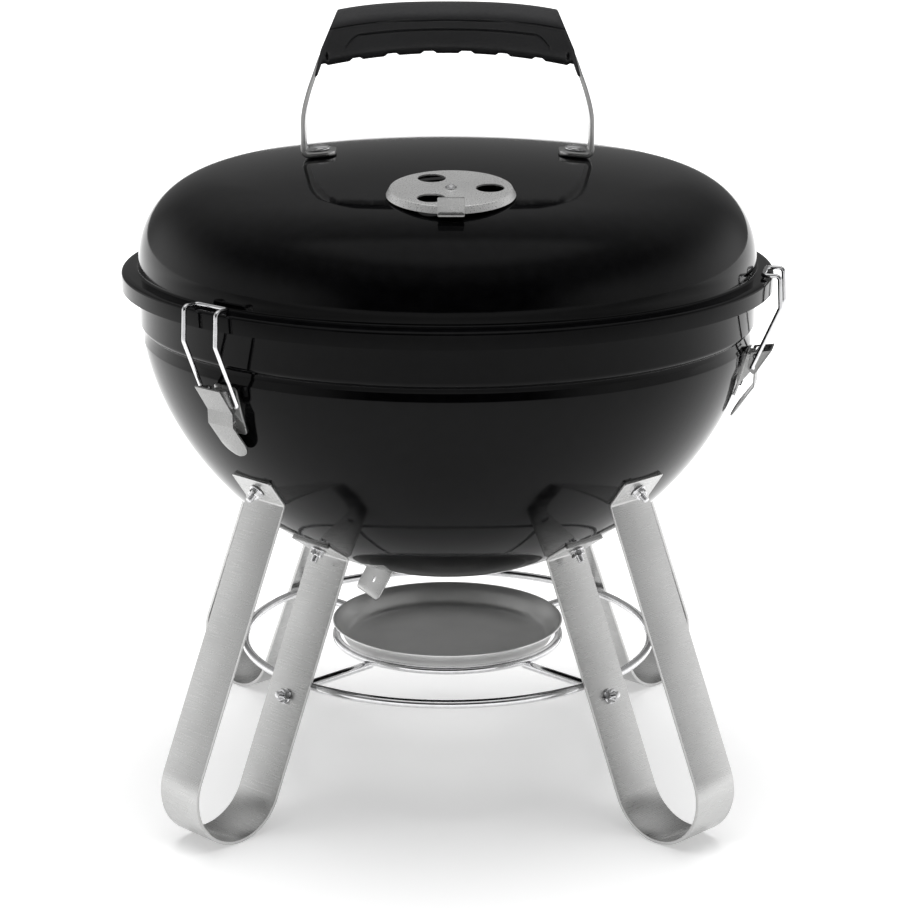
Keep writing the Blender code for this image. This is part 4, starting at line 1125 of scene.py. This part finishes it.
def build_legs(scene):
    kettle, look, leg = scene.grill_kettle, scene.grill_finish, scene.grill_leg
    chain, _ = leg_chain(kettle, leg)
    cross, side = rack_bolt_line(kettle, leg)
    steel = steel_finish(look, "leg_steel")
    for number, (where, azimuth) in enumerate(LEG_AZIMUTHS.items()):
        turn = around(azimuth)
        work = strap(chain, leg.width, leg.thick, 1.5 * MM, 0.3 * MM)
        piece(f"leg_{where}_strip", work, steel, "kettle", [f"leg_{where}"], turn)
        for spot, radius in (("outer", leg.outer_bolt), ("inner", leg.inner_bolt)):
            surface, normal, _ = body_point(kettle, radius)
            inside = surface - normal * (kettle.sheet + GAP + 0.4 * MM)
            outside = surface + normal * (2 * GAP + leg.thick)
            along = turn.to_3x3() @ flat(normal)
            node = f"leg_bolt_{where}_{spot}"
            bolt(f"{node}_dome", "kettle", node, turn @ flat(inside), along, 12.6 * MM, look)
            node = f"leg_nut_{where}_{spot}"
            nut(f"{node}_hex", "kettle", node, turn @ flat(outside), along, look,
                spin=0.35 + number * 0.8 + (0.3 if spot == "inner" else 0))
        eyelet = 2 * MM
        head = cross - side * (leg.thick / 2 + 2 * GAP + eyelet)
        seat = cross + side * (leg.thick / 2 + GAP)
        along = turn.to_3x3() @ flat(side)
        node = f"rack_bolt_{where}"
        bolt(f"{node}_dome", "kettle", node, turn @ flat(head), along, 12 * MM, look, 3.6 * MM)
        node = f"rack_nut_{where}"
        nut(f"{node}_hex", "kettle", node, turn @ flat(seat), along, look, spin=0.2 + number * 0.9)


def build_rack(scene):
    """Two wire rings on four spokes. Each spoke's end is pressed flat into an eyelet for the leg's bolt."""
    kettle, look, leg = scene.grill_kettle, scene.grill_finish, scene.grill_leg
    work = ring(leg.rack_radius, leg.rack_height, leg.rack_wire, 160)
    join(work, ring(leg.rack_inner, leg.rack_height, leg.rack_wire, 120))
    cross, side = rack_bolt_line(kettle, leg)
    thick = 2 * MM
    middle = cross - side * (leg.thick / 2 + GAP + thick / 2)
    spoke_z = leg.rack_height - 4.1 * MM
    for azimuth in LEG_AZIMUTHS.values():
        turn = around(azimuth)
        reach = middle.x - 1.8 * MM
        path = spread([(leg.rack_inner - 3 * MM, 0, spoke_z), (reach, 0, spoke_z)], 4 * MM)
        join(work, sweep(path, round_section(leg.rack_wire, 16)), turn)
        blank = lathe([(0, thick / 2), (5 * MM, thick / 2), (5.2 * MM, thick / 2 - 0.2 * MM),
                       (5.2 * MM, -thick / 2 + 0.2 * MM), (5 * MM, -thick / 2), (0, -thick / 2)], 32)
        blank = cut(blank, [((0, 0, -5 * MM), (0, 0, 5 * MM), 2.4 * MM)], 24)
        join(work, blank, turn @ facing(flat(middle), flat(side)))
    piece("rack_wire_frame", work, plated_finish(look), "kettle", ["rack"], crease=40)


def build_ash_dish(scene):
    look, leg = scene.grill_finish, scene.grill_leg
    rim = leg.dish_radius
    top, floor = DISH_HIGH.z, DISH_LOW.z
    outside = smooth_chain([
        (rim, top - 1.0 * MM), (rim - 1.4 * MM, top - 1.9 * MM), (rim - 3.3 * MM, top - 4.0 * MM),
        (rim - 5.3 * MM, top - 7.4 * MM), (rim - 7.3 * MM, top - 11.2 * MM),
        (rim - 9.7 * MM, floor + 0.7 * MM), (rim - 12.7 * MM, floor)], 5)
    inside = smooth_chain([
        (rim - 12.9 * MM, floor + 1.1 * MM), (rim - 10.3 * MM, floor + 1.7 * MM),
        (rim - 8.2 * MM, top - 10.6 * MM), (rim - 6.3 * MM, top - 7 * MM), (rim - 4.2 * MM, top - 3.4 * MM),
        (rim - 1.9 * MM, top - 0.6 * MM), (rim - 0.9 * MM, top)], 5)
    outline = [(rim, top - 0.3 * MM)] + [tuple(p) for p in outside] + [(0, floor), (0, floor + 1.1 * MM)]
    outline += [(rim - 18 * MM, floor + 1.1 * MM)] + [tuple(p) for p in inside] + [(rim - 0.3 * MM, top)]
    piece("ash_dish_shell", lathe(outline, 144), steel_finish(look, "dish_steel"), "ash_dish",
          ["ash_dish"], crease=35)


# --- grates ------------------------------------------------------------------------------------

def build_grates(scene):
    look, sizes = scene.grill_finish, scene.grill_grate
    for name, radius, height, spacing in (
            ("cooking_grate", sizes.cooking_radius, sizes.cooking_height, sizes.cooking_spacing),
            ("charcoal_grate", sizes.charcoal_radius, sizes.charcoal_height, sizes.charcoal_spacing)):
        work = ring(radius, height, sizes.ring_wire, 144, 12)
        count = int((radius - 6 * MM) // spacing)
        for i in range(-count, count + 1):
            x = i * spacing
            half = math.sqrt(radius ** 2 - x ** 2) - 0.6 * MM
            join(work, rod((x, -half, height), (x, half, height), sizes.bar_wire, 12))
        low = height - 3.3 * MM
        for y in (-radius * 0.45, radius * 0.45):
            half = math.sqrt(radius ** 2 - y ** 2) - 1.2 * MM
            join(work, rod((-half, y, low), (half, y, low), sizes.bar_wire, 12))
        piece(f"{name}_wires", work, grate_finish(look), name, [name], crease=40)


# --- latches -----------------------------------------------------------------------------------

def hinge_spot(joint):
    """A latch joint's pivot as (radius, height)."""
    x, y, z = JOINTS[joint]["pos_m"]
    return Vector((math.hypot(x, y), z))


def plate_outline(points, y_low, y_high, ease=0.15 * MM):
    """A flat plate that stands in the (x, z) plane between two values of y, its edges eased."""
    work = bmesh.new()
    middle = sum((Vector(p) for p in points), Vector((0, 0))) / len(points)
    rows = []
    for y, inset in ((y_low, ease), (y_low + ease, 0), (y_high - ease, 0), (y_high, ease)):
        ring_now = []
        for p in points:
            spot = Vector(p)
            spot += (middle - spot).normalized() * inset
            ring_now.append(work.verts.new((spot.x, y, spot.y)))
        rows.append(ring_now)
    n = len(points)
    for a, b in zip(rows, rows[1:]):
        for i in range(n):
            work.faces.new((a[i], a[(i + 1) % n], b[(i + 1) % n], b[i]))
    work.faces.new(rows[0])
    work.faces.new(list(reversed(rows[-1])))
    return work


def build_latch_base(kettle, latch, look, where, turn):
    """A plate on the bowl with two ears that hold the lever's pin."""
    middle, normal, tangent = body_point(kettle, 176.2 * MM, GAP + 0.75 * MM)
    half, sheet = 14.5 * MM, 1.0 * MM
    run = [middle - tangent * half, middle + tangent * half]
    work = strap(spread([tuple(p) for p in run], 2 * MM), 2 * latch.ear_half + MM, sheet, 2 * MM, 0.2 * MM)
    pivot = hinge_spot(f"latch_lever_{where}_turn")
    reach = normal * 0.2 * MM
    corners = [
        middle - tangent * 8 * MM + reach, middle + tangent * 12 * MM + reach,
        pivot + normal * 3.0 * MM + tangent * 2.5 * MM, pivot + normal * 3.0 * MM - tangent * 2.5 * MM]
    start = (corners[0] + corners[1]) / 2
    chain = rounded([start] + corners[1:] + [corners[0], start],
                    [0.2 * MM, 2 * MM, 2 * MM, 0.2 * MM], 4)[:-1]
    for side in (-1, 1):
        low, high = sorted((side * latch.ear_half, side * (latch.ear_half - sheet)))
        join(work, plate_outline([tuple(p) for p in chain], low, high))
    work = cut(work, [(flat(pivot, -12 * MM), flat(pivot, 12 * MM), latch.pin_radius + 0.4 * MM)], 24)
    piece(f"latch_base_{where}_plate", work, steel_finish(look, "latch_steel"), "kettle",
          [f"latch_base_{where}"], turn)


def build_latch_lever(latch, look, where, turn):
    """A channel round the pin. Its front plate runs down into a cupped finger tongue."""
    pivot = hinge_spot(f"latch_lever_{where}_turn")
    bail = hinge_spot(f"latch_bail_{where}_turn")
    half, sheet = latch.lever_half, latch.lever_sheet
    front = [Vector(p) * MM - pivot for p in ((194.2, 268.6), (184.9, 254.4), (184.6, 246.4), (171.0, 226.4))]
    run = rounded(front, [0.4 * MM, 0.4 * MM], 4)
    root, tip = front[2], front[3]
    tongue = (tip - root).length
    round_from = 1 - half / tongue
    chain, widths = [], []
    for p in spread([tuple(p) for p in run[:-1]], 1.6 * MM):
        chain.append(p)
        widths.append(2 * half)
    for turn_deg in range(0, 88, 6):
        t = math.radians(turn_deg)
        chain.append(root.lerp(tip, round_from + (1 - round_from) * math.sin(t)))
        widths.append(2 * half * max(0.12, math.cos(t)))
    hollow_from = (front[1] - front[0]).length + (front[2] - front[1]).length
    places = [0.0]
    for a, b in zip(chain, chain[1:]):
        places.append(places[-1] + (Vector(b) - Vector(a)).length)

    def section(i):
        wide = widths[i]
        cupped = smooth_step(hollow_from + MM, hollow_from + 9 * MM, places[i])
        cupped *= 1.1 * MM * (wide / (2 * half))
        shape = []
        steps = 12
        for layer in (-1, 1):
            order = range(steps + 1) if layer < 0 else range(steps, -1, -1)
            for k in order:
                u = -1 + 2 * k / steps
                ease = 0.86 if k in (0, steps) else 1
                shape.append((u * wide / 2, layer * sheet / 2 * ease + cupped * (1 - u * u) - cupped * 0.5))
        return shape
    work = sweep([flat(p) for p in chain], section, side=(0, 1, 0))
    back = [Vector((-3.2, 2.4)) * MM, Vector((-4.6, -7.4)) * MM, Vector((-2.0, -10.6)) * MM]
    corners = back + [front[1], front[0]]
    middle = (corners[0] + corners[4]) / 2
    cheek = rounded([middle] + corners + [middle], [1.4 * MM, 2 * MM, 2 * MM, 0.3 * MM, 0.3 * MM], 4)[:-1]
    for side in (-1, 1):
        low, high = sorted((side * half, side * (half - sheet)))
        join(work, plate_outline([tuple(p) for p in cheek], low, high))
    spot = bail - pivot
    work = cut(work, [
        (Vector((0, -14 * MM, 0)), Vector((0, 14 * MM, 0)), latch.pin_radius + 0.4 * MM),
        (flat(spot, -14 * MM), flat(spot, 14 * MM), latch.bail_wire + 0.4 * MM)], 24)
    lever = f"latch_lever_{where}"
    piece(f"{lever}_channel", work, steel_finish(look, "lever_steel"), lever, [lever],
          turn @ Matrix.Translation(flat(pivot)))


def build_latch_bail(kettle, latch, look, where, turn):
    """A wire loop: both ends turn in through the lever's cheeks, its middle crosses the lid's flange."""
    pivot = hinge_spot(f"latch_bail_{where}_turn")
    wire = latch.bail_wire
    top_z = kettle.flange_height + wire + 0.55 * MM
    half = [
        (pivot.x, 8.7 * MM, pivot.y), (pivot.x, latch.bail_half, pivot.y),
        (199.0 * MM, latch.bail_half, 294.4 * MM), (198.0 * MM, latch.bail_half, top_z),
        (188.3 * MM, latch.bail_half, top_z)]
    points = half + [(x, -y, z) for x, y, z in reversed(half)]
    soft = rounded(points, 2.6 * MM, 7)
    work = sweep(spread(soft, 3 * MM), round_section(wire, 16))
    bail = f"latch_bail_{where}"
    piece(f"{bail}_wire", work, plated_finish(look), bail, [bail], turn)


def build_latches(scene):
    kettle, look, latch = scene.grill_kettle, scene.grill_finish, scene.grill_latch
    for where, azimuth in LATCH_AZIMUTHS.items():
        turn = around(azimuth)
        build_latch_base(kettle, latch, look, where, turn)
        build_latch_lever(latch, look, where, turn)
        build_latch_bail(kettle, latch, look, where, turn)
        pivot = hinge_spot(f"latch_lever_{where}_turn")
        half = latch.lever_half
        pin = rod(flat(pivot, -half), flat(pivot, half), latch.pin_radius, 24, 0.3 * MM)
        piece(f"latch_pin_{where}_bar", pin, plated_finish(look), "kettle", [f"latch_pin_{where}"],
              turn)
        spot, normal, _ = body_point(kettle, latch.rivet_place)
        inside = spot - normal * (kettle.sheet + GAP + 0.6 * MM)
        reach = kettle.sheet + GAP + 3.9 * MM
        bolt(f"latch_rivet_{where}_dome", "kettle", f"latch_rivet_{where}", turn @ flat(inside),
             turn.to_3x3() @ flat(normal), reach, look, 3.4 * MM, 1.2 * MM, bare=reach - 0.5 * MM)


# --- studio ------------------------------------------------------------------------------------

FLOOR_HALF = 9.0
SOFT_BOX_PLACE = (0, 0.4, 2.4)
SOFT_BOX_TARGET = (0, 0.3, 0)
SOFT_BOX_SIZE = 2.4
SOFT_BOX_POWER = 62
CAMERA_PLACE = (0, -1.509235, 0.6025)
CAMERA_TILT = 0.267
CAMERA_LENS = 100.97
CAMERA_SHIFT = (0.0027, 0.0002)
SENSOR_HEIGHT = 36

# The floor's own glow: the two places on Y between which each part of it changes, and from what to what.
FLOOR_GLOW = {
    "near": (-1.3, -0.35, 0.05, 0.3),
    "front": (-2.2, -4.0, 0.0, 0.4),
    "back": (0.4, 2.0, 0.0, 0.64),
}

# The light from all round: the two places on the unit sphere between which each part changes along one
# axis, and from what to what.
AIR = {
    "sideways": (0.45, 0.95, 0.0, 1.0),
    "sides_low": (0.6, 0.05, 0.0, 0.9),
    "behind": (-0.2, 0.5, 0.0, 0.17),
    "above": (0.3, 0.85, 0.0, 0.38),
    "panel_high": (0.72, 0.9, 0.0, 1.0),
    "panel_front": (0.15, -0.1, 0.0, 0.7),
}


def lamp(name, place, target, size, power):
    light = bpy.data.lights.new(name, "AREA")
    light.shape = "SQUARE"
    light.size = size
    light.energy = power
    made = bpy.data.objects.new(name, light)
    made.location = place
    made.rotation_euler = (Vector(target) - Vector(place)).to_track_quat("-Z", "Y").to_euler()
    bpy.context.scene.collection.objects.link(made)
    return made


def stepped(tree, source, start, end, low, high):
    """A smooth step of a value from low at start to high at end."""
    node = tree.nodes.new("ShaderNodeMapRange")
    node.interpolation_type = "SMOOTHSTEP"
    for label, value in (("From Min", start), ("From Max", end), ("To Min", low), ("To Max", high)):
        node.inputs[label].default_value = value
    wire_up(tree, (source, node.inputs["Value"]))
    return node.outputs["Result"]


def worked(tree, operation, first, second=None):
    node = tree.nodes.new("ShaderNodeMath")
    node.operation = operation
    for socket, value in zip(node.inputs, (first, second)):
        if isinstance(value, (int, float)):
            socket.default_value = value
        elif value is not None:
            wire_up(tree, (value, socket))
    return node.outputs["Value"]


def floor_finish(look):
    """A pale light table whose own glow is weakest just in front of the grill."""
    material, tree, shader = new_material("studio_floor", look.floor)
    shader.inputs["Roughness"].default_value = 0.9
    shader.inputs["Specular IOR Level"].default_value = 0.1
    shade = effect(tree, "mottling", Scale=3.0, Detail=2.0, Low=0.0, High=1.0)
    mixed_colour(tree, shader, shade.outputs["Value"], scaled(look.floor, 0.99), scaled(look.floor, 1.01))
    place = tree.nodes.new("ShaderNodeTexCoord")
    parts = tree.nodes.new("ShaderNodeSeparateXYZ")
    wire_up(tree, (place.outputs["Object"], parts.inputs[0]))
    near, front, back = (stepped(tree, parts.outputs["Y"], *reach) for reach in FLOOR_GLOW.values())
    glow = worked(tree, "ADD", worked(tree, "ADD", near, front), back)
    tint = tree.nodes.new("ShaderNodeMix")
    tint.data_type = "RGBA"
    tint.inputs["A"].default_value = (0, 0, 0, 1)
    tint.inputs["B"].default_value = (1.0, 1.0, 1.0, 1)
    wire_up(tree, (glow, tint.inputs["Factor"]), (tint.outputs["Result"], shader.inputs["Emission Color"]))
    shader.inputs["Emission Strength"].default_value = 1.0
    return material


def studio_air(scene):
    """Light from all round: dark in front, dim behind, pale overhead, bright low down at the sides."""
    world = bpy.data.worlds.new("studio_world")
    world.use_nodes = True
    tree = world.node_tree
    place = tree.nodes.new("ShaderNodeTexCoord")
    parts = tree.nodes.new("ShaderNodeSeparateXYZ")
    wire_up(tree, (place.outputs["Generated"], parts.inputs[0]))
    x, y, z = (parts.outputs[axis] for axis in "XYZ")
    sides = worked(tree, "MULTIPLY", stepped(tree, worked(tree, "ABSOLUTE", x), *AIR["sideways"]),
                   stepped(tree, z, *AIR["sides_low"]))
    behind = stepped(tree, y, *AIR["behind"])
    above = stepped(tree, z, *AIR["above"])
    panel = worked(tree, "MULTIPLY", stepped(tree, z, *AIR["panel_high"]),
                   stepped(tree, y, *AIR["panel_front"]))
    total = worked(tree, "ADD", worked(tree, "ADD", sides, behind), worked(tree, "ADD", above, panel))
    shader = tree.nodes["Background"]
    shader.inputs["Color"].default_value = (1, 1, 1, 1)
    wire_up(tree, (total, shader.inputs["Strength"]))
    scene.world = world


def build_studio(scene):
    """A pale floor, a soft box overhead, the light from all round and the camera."""
    look = scene.grill_finish
    work = bmesh.new()
    bmesh.ops.create_grid(work, x_segments=8, y_segments=8, size=FLOOR_HALF)
    data = bpy.data.meshes.new("studio_floor")
    work.to_mesh(data)
    work.free()
    data.materials.append(floor_finish(look))
    floor = bpy.data.objects.new("studio_floor", data)
    floor.location = (0, 0, CAD_BOX[0][2])
    scene.collection.objects.link(floor)
    top = lamp("soft_box_top", SOFT_BOX_PLACE, SOFT_BOX_TARGET, SOFT_BOX_SIZE, SOFT_BOX_POWER)
    top.visible_glossy = False
    studio_air(scene)
    scene.view_settings.view_transform = "Standard"
    camera_data = bpy.data.cameras.new("camera")
    camera_data.sensor_fit = "VERTICAL"
    camera_data.sensor_height = SENSOR_HEIGHT
    camera_data.lens = CAMERA_LENS
    camera_data.shift_x, camera_data.shift_y = CAMERA_SHIFT
    camera_data.clip_end = 100
    camera = bpy.data.objects.new("camera", camera_data)
    camera.location = CAMERA_PLACE
    camera.rotation_euler = (math.pi / 2 - CAMERA_TILT, 0, 0)
    scene.collection.objects.link(camera)
    scene.camera = camera


# --- operators and panel -----------------------------------------------------------------------

class GrillAddBowl(bpy.types.Operator):
    """Builds the enamelled bowl with its band, step and vents"""
    bl_idname = "grill.add_bowl"
    bl_label = "Add bowl"
    bl_options = {"REGISTER", "UNDO"}

    def execute(self, context):
        build_bowl(context.scene)
        return {"FINISHED"}


class GrillAddLid(bpy.types.Operator):
    """Builds the enamelled lid with its flange and vents"""
    bl_idname = "grill.add_lid"
    bl_label = "Add lid"
    bl_options = {"REGISTER", "UNDO"}

    def execute(self, context):
        build_lid(context.scene)
        return {"FINISHED"}


class GrillAddTopDamper(bpy.types.Operator):
    """Builds the lid's round damper and its rivet"""
    bl_idname = "grill.add_top_damper"
    bl_label = "Add top damper"
    bl_options = {"REGISTER", "UNDO"}

    def execute(self, context):
        build_top_damper(context.scene)
        return {"FINISHED"}


class GrillAddHandleStrap(bpy.types.Operator):
    """Builds the lid's metal strap, its two screws and their nuts"""
    bl_idname = "grill.add_handle_strap"
    bl_label = "Add handle strap"
    bl_options = {"REGISTER", "UNDO"}

    def execute(self, context):
        build_handle_strap(context.scene)
        return {"FINISHED"}


class GrillAddHandleGrip(bpy.types.Operator):
    """Builds the moulded grip with its panel and finger ridges"""
    bl_idname = "grill.add_handle_grip"
    bl_label = "Add handle grip"
    bl_options = {"REGISTER", "UNDO"}

    def execute(self, context):
        build_grip(context.scene)
        return {"FINISHED"}


class GrillAddBottomDamper(bpy.types.Operator):
    """Builds the plate under the bowl, its finger tab and its rivet"""
    bl_idname = "grill.add_bottom_damper"
    bl_label = "Add bottom damper"
    bl_options = {"REGISTER", "UNDO"}

    def execute(self, context):
        build_bottom_damper(context.scene)
        return {"FINISHED"}


class GrillAddLegs(bpy.types.Operator):
    """Builds the four strap legs with their bolts and nuts"""
    bl_idname = "grill.add_legs"
    bl_label = "Add legs"
    bl_options = {"REGISTER", "UNDO"}

    def execute(self, context):
        build_legs(context.scene)
        return {"FINISHED"}


class GrillAddRack(bpy.types.Operator):
    """Builds the wire rack that joins the legs"""
    bl_idname = "grill.add_rack"
    bl_label = "Add rack"
    bl_options = {"REGISTER", "UNDO"}

    def execute(self, context):
        build_rack(context.scene)
        return {"FINISHED"}


class GrillAddAshDish(bpy.types.Operator):
    """Builds the dish that hangs in the rack's inner ring"""
    bl_idname = "grill.add_ash_dish"
    bl_label = "Add ash dish"
    bl_options = {"REGISTER", "UNDO"}

    def execute(self, context):
        build_ash_dish(context.scene)
        return {"FINISHED"}


class GrillAddGrates(bpy.types.Operator):
    """Builds the cooking grate and the charcoal grate"""
    bl_idname = "grill.add_grates"
    bl_label = "Add grates"
    bl_options = {"REGISTER", "UNDO"}

    def execute(self, context):
        build_grates(context.scene)
        return {"FINISHED"}


class GrillAddLatches(bpy.types.Operator):
    """Builds the three wire latches that hold the lid"""
    bl_idname = "grill.add_latches"
    bl_label = "Add latches"
    bl_options = {"REGISTER", "UNDO"}

    def execute(self, context):
        build_latches(context.scene)
        return {"FINISHED"}


class GrillAddStudio(bpy.types.Operator):
    """Builds the floor, the soft box overhead, the light from all round and the camera"""
    bl_idname = "grill.add_studio"
    bl_label = "Add studio"
    bl_options = {"REGISTER", "UNDO"}

    def execute(self, context):
        build_studio(context.scene)
        return {"FINISHED"}


class GrillPanel(bpy.types.Panel):
    """Lists the grill's sizes, finishes and building steps"""
    bl_idname = "VIEW3D_PT_grill"
    bl_label = "Kettle grill"
    bl_space_type = "VIEW_3D"
    bl_region_type = "UI"
    bl_category = "Grill"

    def draw(self, context):
        for key, group in SIZES.items():
            box = self.layout.box()
            box.label(text=group.__doc__)
            for name in group.__annotations__:
                box.prop(getattr(context.scene, key), name)
        for step in STEPS:
            self.layout.operator(step.bl_idname)


STEPS = (
    GrillAddBowl, GrillAddLid, GrillAddTopDamper, GrillAddHandleStrap, GrillAddHandleGrip,
    GrillAddBottomDamper, GrillAddLegs, GrillAddRack, GrillAddAshDish, GrillAddGrates, GrillAddLatches,
    GrillAddStudio)


def register():
    for group in SIZES.values():
        bpy.utils.register_class(group)
    for step in STEPS:
        bpy.utils.register_class(step)
    bpy.utils.register_class(GrillPanel)
    for key, group in SIZES.items():
        setattr(bpy.types.Scene, key, PointerProperty(type=group))


def unregister():
    for key in SIZES:
        delattr(bpy.types.Scene, key)
    bpy.utils.unregister_class(GrillPanel)
    for step in reversed(STEPS):
        bpy.utils.unregister_class(step)
    for group in reversed(list(SIZES.values())):
        bpy.utils.unregister_class(group)


def main():
    register()
    for step in STEPS:
        group, name = step.bl_idname.split(".")
        getattr(getattr(bpy.ops, group), name)()


if __name__ == "__main__":
    main()
